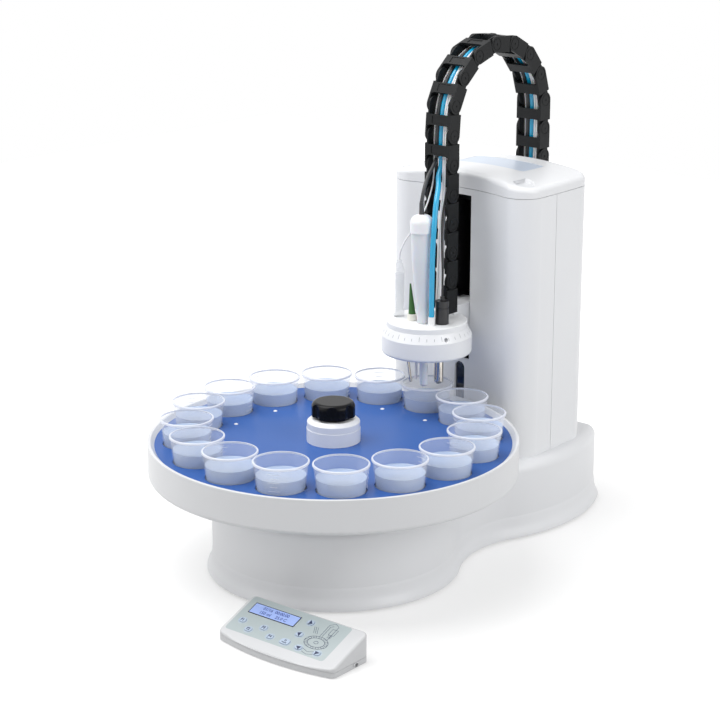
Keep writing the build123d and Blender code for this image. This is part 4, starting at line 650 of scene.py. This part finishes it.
class AUTOSAMPLER_OT_cups(bpy.types.Operator):
    """Clear sample cups with their raised marks, and the water in them"""
    bl_idname = "autosampler.cups"
    bl_label = "Sample cups"

    def execute(self, context):
        sizes = context.scene.autosampler_sizes
        paint(["sample_beakers"], "Cup wall", (0.88, 0.91, 1.0), 0.2, kind="flow", depth=20,
              spread=0.08, tint=0.02, Alpha=0.17, Specular_IOR_Level=0.9)
        water = finish("Water", (0.66, 0.79, 1.0), 0.04, kind="flow", depth=2,
                       spread=0.02, tint=0.02, Alpha=0.54)
        mesh = bmesh.new()
        level = sizes.water_level / MM
        for number in range(CUP_COUNT):
            lathe(mesh, self.water_profile(level), self.cup_middle(number), steps=64)
        piece("cup_water", mesh, water, "tray_body", smooth_angle=40)
        # Painted highlight in part: the milky bead is the rolled edge's thicker plastic and
        # also stands in for the bright light that the rims catch
        rim = finish("Cup rim with painted highlight", (0.86, 0.89, 0.98), 0.22, kind="flow", depth=10,
                     Alpha=0.6, Specular_IOR_Level=0.9)
        mesh = bmesh.new()
        for number in range(CUP_COUNT):
            lathe(mesh, self.rim_bead(), self.cup_middle(number), steps=64)
        piece("cup_rims_with_highlight", mesh, rim, "tray_body", smooth_angle=60)
        marks = finish("Raised cup marks", (0.88, 0.91, 0.98), 0.3, kind="flow", Alpha=0.5)
        mesh = bmesh.new()
        draw = random.Random(MARK_SEED)
        for number in range(CUP_COUNT):
            turn = draw.uniform(0, math.tau)
            for index, half in enumerate(MARK_HALVES):
                self.wall_mark(mesh, number, turn, MARK_FOOT_Z + MARK_PITCH * index, half)
        piece("cup_marks", mesh, marks, "tray_body")
        return {"FINISHED"}

    def cup_middle(self, number):
        """A cup's place on its ring"""
        angle = math.tau * number / CUP_COUNT
        return (CUP_RING_R * math.cos(angle), CUP_RING_R * math.sin(angle))

    def inner_r(self, height):
        """The inner radius of a cup's sloping wall at a height"""
        return CUP_INNER_FOOT_R + CUP_INNER_SLOPE * (height - CUP_BOTTOM_Z)

    def water_profile(self, level):
        """The water's outline: a floor, the wall with a small gap, and a curved-up rim"""
        gap, climb, reach, bevel, rise = 0.25, 0.9, 1.6, 1.4, 2
        wall = self.inner_r(level) - gap
        foot = self.inner_r(CUP_FLOOR_Z) - 2 * gap - bevel
        shoulder = CUP_FLOOR_Z + rise
        return [(0, CUP_FLOOR_Z), (foot, CUP_FLOOR_Z),
                (self.inner_r(shoulder) - gap, shoulder), (wall, level + climb),
                (wall - reach / 3, level + climb / 3), (wall - reach, level), (0, level)]

    def rim_bead(self):
        """The milky bead along a cup's rim, a hair over the rolled edge, partly the thicker
        plastic there and partly a painted highlight for the light that the rim catches
        """
        outer, inner, bottom, top = 32.2, 30.2, 187.6, 189.8
        lift, skirt, bevel, lip, sag = 0.06, 0.9, 0.5, 0.1, 0.3
        return [(outer - skirt, bottom), (outer + lift, bottom), (outer + lift, top - bevel),
                (outer - bevel, top + lift), (inner, top + lift), (inner, top - lip),
                (outer - skirt, top - sag), (outer - skirt, bottom)]

    def wall_mark(self, mesh, number, turn, height, half):
        """A raised line of a graduation on a cup's outer wall, for half its width each way"""
        x, y = self.cup_middle(number)
        thick, rise, steps = 0.45, 0.12, 6
        outer = self.inner_r(height) + CUP_WALL
        rows = []
        for step in range(steps + 1):
            angle = turn + (2 * step / steps - 1) * half / outer
            row = []
            for radius, up in ((outer + rise, thick / 2), (outer + rise, -thick / 2),
                               (outer - rise, -thick / 2), (outer - rise, thick / 2)):
                row.append(mesh.verts.new(((x + radius * math.cos(angle)) * MM,
                                           (y + radius * math.sin(angle)) * MM,
                                           (height + up) * MM)))
            rows.append(row)
        join_rows(mesh, rows)


class AUTOSAMPLER_OT_head(bpy.types.Operator):
    """Lifting arm and probe head: collar with its marks, disc, probes, vial and rods"""
    bl_idname = "autosampler.head"
    bl_label = "Probe head"

    def execute(self, context):
        colours = context.scene.autosampler_finishes
        sizes = context.scene.autosampler_sizes
        paint(["lift_arm", "head_collar"], "Head white", colours.shell, 0.33, depth=8,
              tint=0.012, Coat_Weight=0.15)
        paint(["head_disc"], "Disc white", (0.84, 0.85, 0.86), 0.42, tint=0.015)
        paint(["electrode_cap"], "Probe cap white", (0.84, 0.85, 0.88), 0.34, tint=0.012,
              Subsurface_Weight=0.1, Subsurface_Scale=0.004)
        paint(["electrode_shaft"], "Frosted probe body", (0.80, 0.83, 0.88), 0.3, kind="flow",
              depth=10, Subsurface_Weight=0.25, Subsurface_Scale=0.006,
              Transmission_Weight=0.15)
        paint(["glass_vial"], "Vial glass", (0.90, 0.92, 0.95), 0.06, kind="flow", depth=3,
              spread=0.02, tint=0.02, Alpha=0.24, Specular_IOR_Level=0.9)
        paint(["green_plug"], "Green plug", (0.02, 0.11, 0.015), 0.38)
        self.plug_seat()
        paint(["probe_connector"], "Connector black", (0.014, 0.014, 0.016), 0.34)
        paint(["steel_rods"], "Polished steel", (0.66, 0.62, 0.56), 0.12, kind="drawn",
              depth=2, spread=0.06, tint=0.2, Metallic=1.0)
        self.collar_marks(sizes)
        return {"FINISHED"}

    def plug_seat(self):
        """The cream sleeve round the green plug's foot"""
        under_lip = SEAT_TOP_Z - SEAT_LIP
        profile = [(SEAT_BORE_R, SEAT_FOOT_Z), (SEAT_OUTER_R, SEAT_FOOT_Z),
                   (SEAT_OUTER_R, SEAT_TOP_Z), (SEAT_MOUTH_R, SEAT_TOP_Z),
                   (SEAT_MOUTH_R, under_lip), (SEAT_BORE_R, under_lip),
                   (SEAT_BORE_R, SEAT_FOOT_Z)]
        mesh = bmesh.new()
        lathe(mesh, profile, PLUG_MIDDLE, steps=40)
        cream = finish("Plug seat cream", (0.80, 0.79, 0.72), 0.4, tint=0.02)
        piece("plug_seat", mesh, cream, "lift_body", smooth_angle=40)

    def collar_marks(self, sizes):
        """Thin marks printed round the collar's cone band"""
        collar = node_tree_of("head_collar")
        ink = finish("Mark ink", (0.36, 0.37, 0.39), 0.5)
        mesh = bmesh.new()
        middle = Vector((0, HEAD_Y * MM, 0))
        for number in range(sizes.tick_count):
            angle = math.tau * number / sizes.tick_count
            tall = TICK_TOP_Z if number % LONG_TICK_EVERY else LONG_TICK_TOP_Z
            way = Vector((math.cos(angle), math.sin(angle), 0))
            side = Vector((-way.y, way.x, 0)) * (sizes.tick_width / 2)
            spots = []
            for height, swing in ((TICK_FOOT_Z, -1), (TICK_FOOT_Z, 1), (tall, 1), (tall, -1)):
                start = (middle + way * (OUTSIDE_COLLAR_R * MM) + side * swing
                         + Vector((0, 0, height * MM)))
                spots.append(collar.ray_cast(start, -way)[0])
            if any(spot is None for spot in spots):
                continue
            prism(mesh, [spot + way * (TICK_RISE * MM) for spot in spots],
                  [spot - way * (TICK_SINK * MM) for spot in spots])
        piece("collar_marks", mesh, ink, "lift_body")


class AUTOSAMPLER_OT_lines(bpy.types.Operator):
    """Hose, cables and thin tubes, from the head and through the chain"""
    bl_idname = "autosampler.lines"
    bl_label = "Lines"

    def execute(self, context):
        colours = context.scene.autosampler_finishes
        clear = finish("Clear tube", (0.88, 0.89, 0.91), 0.22, kind="flow",
                       Subsurface_Weight=0.1, Subsurface_Scale=0.002)
        looks = {
            "hose": (finish("Rinse hose", colours.hose, 0.24, depth=4,
                            Coat_Weight=0.3), "hose_blue"),
            "grey_cable": (finish("Dark cable jacket", (0.035, 0.037, 0.04), 0.45),
                           "black_chain"),
            "black_cable": (finish("Thin cable jacket", (0.015, 0.015, 0.016), 0.4),
                            "black_chain"),
            "vial_tube": (clear, "glass_clear"), "dip_tube": (clear, "frosted"),
            "tube_inner": (clear, "frosted"), "tube_outer": (clear, "frosted")}
        for node in ("lift_lines", "chain_lines"):
            numbers = {}
            for line in islands(node):
                kind = self.kind_of(line)
                material, slot = looks[kind]
                numbers[kind] = numbers.get(kind, 0) + 1
                stretches = [("lift", "lift_body", line)]
                if node == "chain_lines":
                    stretches = self.split_at_bends(line)
                for prefix, body, mesh in stretches:
                    made = piece(f"{prefix}_{kind}_{numbers[kind]}", mesh, material, body,
                                 smooth_angle=50)
                    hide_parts(node)
        return {"FINISHED"}

    def kind_of(self, line):
        """Which line a solid of the CAD node is, by where it goes into the chain"""
        if max(vert.co.z for vert in line.verts) < DIP_TUBE_TOP_Z * MM:
            return "dip_tube"
        near_break = [vert.co.x for vert in line.verts
                      if abs(vert.co.z - LINE_BREAK_Z * MM) < BREAK_SLACK * MM]
        across = sum(near_break) / len(near_break) / MM
        return min(LINE_PLACES, key=lambda name: abs(LINE_PLACES[name] - across))

    def split_at_bends(self, line):
        """A chain line's stretches, so that each moves with the links round it"""
        joints = {row["name"]: row for row in frame["record"]["behaviour"]["joints"]}
        middle_y = CHAIN_MIDDLE_Y * MM
        cuts = []
        for name, heading in CHAIN_BENDS:
            place = Vector(joints[name]["pos_m"])
            turn = math.radians(heading)
            along = Vector((0, -math.sin(turn), math.cos(turn)))
            at_rear = place.y > middle_y
            faces = [face for face in line.faces
                     if (face.calc_center_median().y > middle_y) == at_rear]
            edges = {edge for face in faces for edge in face.edges}
            verts = {vert for face in faces for vert in face.verts}
            bmesh.ops.bisect_plane(line, geom=[*verts, *edges, *faces], dist=CUT_SLACK,
                                   plane_co=place, plane_no=along)
            cuts.append((place, along))

        def stretch_of(face):
            """The number of a face's stretch: at the rear by the bends that it is past,
            in front by the last bend, between the arch and the upper link"""
            middle = face.calc_center_median()
            passed = [(middle - place).dot(along) > 0 for place, along in cuts]
            return passed[0] + passed[1] if middle.y > middle_y else 2 + passed[2]

        made = []
        for index, (prefix, body) in enumerate(STRETCHES):
            mesh = line.copy()
            others = [face for face in mesh.faces if stretch_of(face) != index]
            bmesh.ops.delete(mesh, geom=others, context="FACES")
            ends = [edge for edge in mesh.edges if edge.is_boundary]
            bmesh.ops.holes_fill(mesh, edges=ends, sides=0)
            made.append((prefix, body, mesh))
        line.free()
        return made


class AUTOSAMPLER_OT_chain(bpy.types.Operator):
    """Black links of the cable chain"""
    bl_idname = "autosampler.chain"
    bl_label = "Cable chain"

    def execute(self, context):
        colours = context.scene.autosampler_finishes
        paint(["chain_fixed_links", "chain_rear_link", "chain_arch_links", "chain_upper_link",
               "chain_front_link", "chain_lift_links"],
              "Chain link", colours.chain, 0.42, grain=1600.0, depth=20, patches=60.0,
              tint=0.15, spread=0.14, Specular_IOR_Level=0.16)
        return {"FINISHED"}


class AUTOSAMPLER_OT_works(bpy.types.Operator):
    """Drive parts inside the base and the tower"""
    bl_idname = "autosampler.works"
    bl_label = "Inner works"

    def execute(self, context):
        paint(["guide_rods", "lead_screw", "tray_spindle"], "Ground steel",
              (0.60, 0.60, 0.61), 0.2, kind="drawn", depth=3, Metallic=1.0)
        paint(["spindle_housing", "driven_pulley", "motor_pulley", "carriage"],
              "Turned aluminium", (0.72, 0.73, 0.74), 0.3, kind="rolled", depth=4,
              Metallic=1.0)
        paint(["spindle_bushes", "carriage_bushes"], "Sintered bronze", (0.42, 0.25, 0.10),
              0.45, grain=3000.0, depth=20, Metallic=1.0)
        paint(["tray_motor", "lift_motor"], "Motor black", (0.02, 0.02, 0.022), 0.4)
        paint(["drive_belt"], "Belt rubber", (0.018, 0.018, 0.018), 0.7, depth=30)
        paint(["control_board", "keypad_board"], "Circuit board", (0.02, 0.13, 0.06), 0.35,
              patches=300.0, tint=0.2)
        return {"FINISHED"}


class AUTOSAMPLER_OT_keypad(bpy.types.Operator):
    """Hand keypad: housing, printed film, keys with their signs, and the display"""
    bl_idname = "autosampler.keypad"
    bl_label = "Keypad"

    def execute(self, context):
        colours = context.scene.autosampler_finishes
        # Painted shade: the keypad's housing is the shell's white, darkened by its share
        paint(["keypad_base", "keypad_cover"], "Keypad housing with painted shade",
              [CASE_PAINTED_SHADE * part for part in colours.shell], 0.36, depth=12, tint=0.012,
              Coat_Weight=0.1)
        paint(["keypad_overlay"], "Keypad film", colours.film, 0.32, grain=3600.0, depth=6,
              tint=0.02)
        paint(["lcd_window"], "Display frame", (0.012, 0.014, 0.03), 0.2, depth=2)
        paint(KEY_MIDDLES, "Key cap", (0.44, 0.53, 0.66), 0.34, depth=6)
        self.surrounds()
        ink = finish("Key ink", (0.012, 0.022, 0.075), 0.4)
        self.key_signs(ink)
        self.display()
        self.picture(ink)
        return {"FINISHED"}

    def surrounds(self):
        """The printed ring round each key"""
        halo = finish("Key surround print", (0.42, 0.50, 0.57), 0.34, depth=3)
        mesh = bmesh.new()
        for name, middle in KEY_MIDDLES.items():
            outer, half = KEY_SURROUND, KEY_HALF
            if name == "key_pause":
                outer, half = PAUSE_SURROUND, PAUSE_HALF
            self.surround(mesh, middle, outer, [size + KEY_GAP for size in half])
        piece("key_surrounds", mesh, halo, "keypad_body")

    def surround(self, mesh, middle, outer, hole):
        """A thin printed ring round a key: an ellipse with the key's rounded hole in it"""
        steps, square, thick, least = 40, 4, 0.05, 0.1
        rows = []
        for step in range(steps):
            angle = math.tau * step / steps
            across, along = math.cos(angle), math.sin(angle)
            reach = (abs(across) ** square + abs(along) ** square) ** (-1 / square)
            rim = (middle[0] + outer[0] * across, middle[1] + outer[1] * along)
            edge = (middle[0] + min(hole[0] * reach, outer[0] - least) * across,
                    middle[1] + min(hole[1] * reach, outer[1] - least) * along)
            rows.append([mesh.verts.new(on_keypad(*spot, lift)) for spot, lift in
                         ((rim, thick), (edge, thick), (edge, -thick), (rim, -thick))])
        join_rows(mesh, rows, closed=True)

    def key_signs(self, ink):
        """One sign on each key, which moves with it"""
        for name, (x, y) in KEY_MIDDLES.items():
            mesh = bmesh.new()
            if name in ARROW_TURNS:
                swings = [math.radians(corner) + math.radians(ARROW_TURNS[name])
                          for corner in ARROW_CORNERS]
                print_slab(mesh, [(x + ARROW_REACH * math.cos(swing),
                                   y + ARROW_REACH * math.sin(swing)) for swing in swings],
                           KEY_RISE)
            elif name == "key_pause":
                self.pause_sign(mesh, x, y)
            else:
                print_words(mesh, name[-2:].upper(), SIGN_HEIGHT, (x, y), KEY_RISE,
                            heavy=0.16)
            piece(f"sign_{name}", mesh, ink, f"{name}_body")

    def pause_sign(self, mesh, x, y):
        """Two bars over the word"""
        wide, foot, top, word_height, word_y = 0.8, 0.3, 2.9, 2.3, -1.7
        for side in (-wide, wide):
            print_stroke(mesh, [(x + side, y + foot), (x + side, y + top)], wide, KEY_RISE)
        print_words(mesh, "PAUSE", word_height, (x, y + word_y), KEY_RISE, heavy=0.07)

    def display(self):
        """The lit display with two rows of dark cells, framed by its window"""
        x, y = DISPLAY_MIDDLE
        half_x, half_y = DISPLAY_HALF
        glow_half, over = 0.1, 0.08
        lit = finish("Lit display", (0.36, 0.48, 0.86), 0.25, depth=1, tint=0.06,
                     Emission_Color=(0.30, 0.40, 0.85, 1), Emission_Strength=0.06)
        mesh = bmesh.new()
        print_slab(mesh, [(x - half_x, y - half_y), (x + half_x, y - half_y),
                          (x + half_x, y + half_y), (x - half_x, y + half_y)],
                   DISPLAY_RISE - PRINT_HALF, glow_half)
        piece("display_glow", mesh, lit, "keypad_body")
        cells = finish("Display cells", (0.05, 0.09, 0.34), 0.4)
        mesh = bmesh.new()
        for words, row_y in DISPLAY_ROWS.items():
            print_words(mesh, words, ROW_HEIGHT, (x, y + row_y), DISPLAY_RISE + over,
                        heavy=0.1)
        piece("display_cells", mesh, cells, "keypad_body")

    def picture(self, ink):
        """A plain line picture of a lifting head over a turning tray"""
        mesh = bmesh.new()
        line, thin, cup_line = 0.5, 0.4, 0.35
        for wide in PICTURE_TRAY:
            print_stroke(mesh, ring_of(PICTURE_MIDDLE, wide, wide * PICTURE_FLATNESS, 48),
                         line, FILM_RISE, closed=True)
        for spot in ring_of(PICTURE_MIDDLE, *PICTURE_CUP_RING, PICTURE_CUPS):
            print_stroke(mesh, ring_of(spot, *PICTURE_CUP, 14), cup_line, FILM_RISE,
                         closed=True)
        print_stroke(mesh, ring_of(PICTURE_MIDDLE, *PICTURE_HUB, 16), line, FILM_RISE,
                     closed=True)
        for points in (PICTURE_COLUMN, PICTURE_ARM, PICTURE_HEAD):
            print_stroke(mesh, points, line, FILM_RISE)
        for points in PICTURE_PROBES + PICTURE_SLASHES + PICTURE_BASE:
            print_stroke(mesh, points, thin, FILM_RISE)
        piece("keypad_picture", mesh, ink, "keypad_body")


class AUTOSAMPLER_OT_stage(bpy.types.Operator):
    """Camera, floor, surroundings and soft lights"""
    bl_idname = "autosampler.stage"
    bl_label = "Stage"

    def execute(self, context):
        settings = context.scene.autosampler_stage
        self.camera(context)
        self.floor(settings)
        self.surroundings(context, settings)
        powers = (settings.key_power, settings.side_power, settings.front_power)
        for (name, place, size), power in zip(LIGHTS, powers):
            self.light(name, place, size, power)
        context.scene.view_settings.view_transform = "Standard"
        return {"FINISHED"}

    def camera(self, context):
        """The camera at the height, side and distance that the object is seen from"""
        back = Vector((math.sin(CAMERA_AZIMUTH) * math.cos(CAMERA_ELEVATION),
                       -math.cos(CAMERA_AZIMUTH) * math.cos(CAMERA_ELEVATION),
                       math.sin(CAMERA_ELEVATION)))
        right = Vector((math.cos(CAMERA_AZIMUTH), math.sin(CAMERA_AZIMUTH), 0))
        aim = right * CAMERA_SIDE_SHIFT + Vector((0, 0, CAMERA_AIM_HEIGHT))
        data = bpy.data.cameras.new("Camera")
        data.lens = CAMERA_LENS_MM
        data.sensor_width = CAMERA_SENSOR_MM
        data.clip_end = 50
        camera = bpy.data.objects.new("Camera", data)
        camera.location = aim + back * CAMERA_DISTANCE
        camera.rotation_mode = "QUATERNION"
        camera.rotation_quaternion = (-back).to_track_quat("-Z", "Y")
        context.scene.collection.objects.link(camera)
        context.scene.camera = camera

    def floor(self, settings):
        """A wide pale floor that looks white and keeps the shadow"""
        mesh = bmesh.new()
        half = FLOOR_HALF
        mesh.faces.new([mesh.verts.new(corner) for corner in
                        ((-half, -half, 0), (half, -half, 0), (half, half, 0),
                         (-half, half, 0))])
        data = bpy.data.meshes.new("Floor")
        mesh.to_mesh(data)
        mesh.free()
        data.materials.append(self.floor_material(settings))
        floor = bpy.data.objects.new("Floor", data)
        bpy.context.scene.collection.objects.link(floor)

    def floor_material(self, settings):
        """A pale matt surface with a glow that grows away from the object"""
        material = bpy.data.materials.new("Pale floor")
        material.use_nodes = True
        tree = material.node_tree
        shader = tree.nodes["Principled BSDF"]
        set_inputs(shader, Base_Color=(*settings.floor, 1), Roughness=0.7,
                   Specular_IOR_Level=0.2)
        place = tree.nodes.new("ShaderNodeTexCoord")
        away = tree.nodes.new("ShaderNodeVectorMath")
        away.operation = "LENGTH"
        tree.links.new(place.outputs["Object"], away.inputs[0])
        growing = tree.nodes.new("ShaderNodeMapRange")
        set_inputs(growing, From_Min=GLOW_START, From_Max=GLOW_END, To_Min=GLOW_NEAR,
                   To_Max=GLOW_FAR)
        tree.links.new(away.outputs["Value"], growing.inputs["Value"])
        glow = tree.nodes.new("ShaderNodeEmission")
        set_inputs(glow, Color=WHITE)
        tree.links.new(seen_by_rays(tree, growing.outputs["Result"]),
                       glow.inputs["Strength"])
        both = tree.nodes.new("ShaderNodeAddShader")
        tree.links.new(shader.outputs["BSDF"], both.inputs[0])
        tree.links.new(glow.outputs["Emission"], both.inputs[1])
        tree.links.new(both.outputs["Shader"], tree.nodes["Material Output"].inputs["Surface"])
        return material

    def surroundings(self, context, settings):
        """Even pale light from all round, white where it is seen"""
        world = bpy.data.worlds.new("Surroundings")
        world.use_nodes = True
        tree = world.node_tree
        lit = tree.nodes["Background"]
        set_inputs(lit, Color=WHITE, Strength=settings.sky)
        white = tree.nodes.new("ShaderNodeBackground")
        set_inputs(white, Color=WHITE, Strength=1)
        choose = tree.nodes.new("ShaderNodeMixShader")
        tree.links.new(seen_by_rays(tree, 1.0), choose.inputs["Fac"])
        tree.links.new(lit.outputs["Background"], choose.inputs[1])
        tree.links.new(white.outputs["Background"], choose.inputs[2])
        tree.links.new(choose.outputs["Shader"], tree.nodes["World Output"].inputs["Surface"])
        context.scene.world = world

    def light(self, name, place, size, power):
        """A square soft light aimed at the object"""
        data = bpy.data.lights.new(name, "AREA")
        data.size = size
        data.energy = power
        lamp = bpy.data.objects.new(name, data)
        lamp.location = place
        aim = Vector(LIGHT_AIM) - Vector(place)
        lamp.rotation_mode = "QUATERNION"
        lamp.rotation_quaternion = aim.to_track_quat("-Z", "Y")
        bpy.context.scene.collection.objects.link(lamp)


def seen_by_rays(tree, strength):
    """A value for camera, glossy and transmitted rays only; gives its socket"""
    path = tree.nodes.new("ShaderNodeLightPath")
    camera_or_gloss = math_node(tree, "MAXIMUM", path.outputs["Is Camera Ray"],
                                path.outputs["Is Glossy Ray"])
    seen = math_node(tree, "MAXIMUM", camera_or_gloss, path.outputs["Is Transmission Ray"])
    return math_node(tree, "MULTIPLY", seen, strength)


class AUTOSAMPLER_PT_panel(bpy.types.Panel):
    """Lists the operators in the order that they are used"""
    bl_idname = "AUTOSAMPLER_PT_panel"
    bl_label = "Autosampler"
    bl_space_type = "VIEW_3D"
    bl_region_type = "UI"
    bl_category = "Autosampler"

    def draw(self, context):
        for operator in OPERATORS:
            self.layout.operator(operator.bl_idname)
        for settings in (context.scene.autosampler_finishes, context.scene.autosampler_sizes,
                         context.scene.autosampler_stage):
            for name in settings.bl_rna.properties.keys():
                if name not in ("rna_type", "name"):
                    self.layout.prop(settings, name)


OPERATORS = (AUTOSAMPLER_OT_shells, AUTOSAMPLER_OT_turntable, AUTOSAMPLER_OT_cups,
             AUTOSAMPLER_OT_head, AUTOSAMPLER_OT_lines, AUTOSAMPLER_OT_chain,
             AUTOSAMPLER_OT_works, AUTOSAMPLER_OT_keypad, AUTOSAMPLER_OT_stage)
CLASSES = (AutosamplerFinishes, AutosamplerSizes, AutosamplerStage) + OPERATORS + (
    AUTOSAMPLER_PT_panel,)


def register():
    for item in CLASSES:
        bpy.utils.register_class(item)
    bpy.types.Scene.autosampler_finishes = bpy.props.PointerProperty(type=AutosamplerFinishes)
    bpy.types.Scene.autosampler_sizes = bpy.props.PointerProperty(type=AutosamplerSizes)
    bpy.types.Scene.autosampler_stage = bpy.props.PointerProperty(type=AutosamplerStage)


def unregister():
    del bpy.types.Scene.autosampler_stage
    del bpy.types.Scene.autosampler_sizes
    del bpy.types.Scene.autosampler_finishes
    for item in reversed(CLASSES):
        bpy.utils.unregister_class(item)


def main():
    register()
    bpy.ops.autosampler.shells()
    bpy.ops.autosampler.turntable()
    bpy.ops.autosampler.cups()
    bpy.ops.autosampler.head()
    bpy.ops.autosampler.lines()
    bpy.ops.autosampler.chain()
    bpy.ops.autosampler.works()
    bpy.ops.autosampler.keypad()
    bpy.ops.autosampler.stage()


if __name__ == "__main__":
    main()
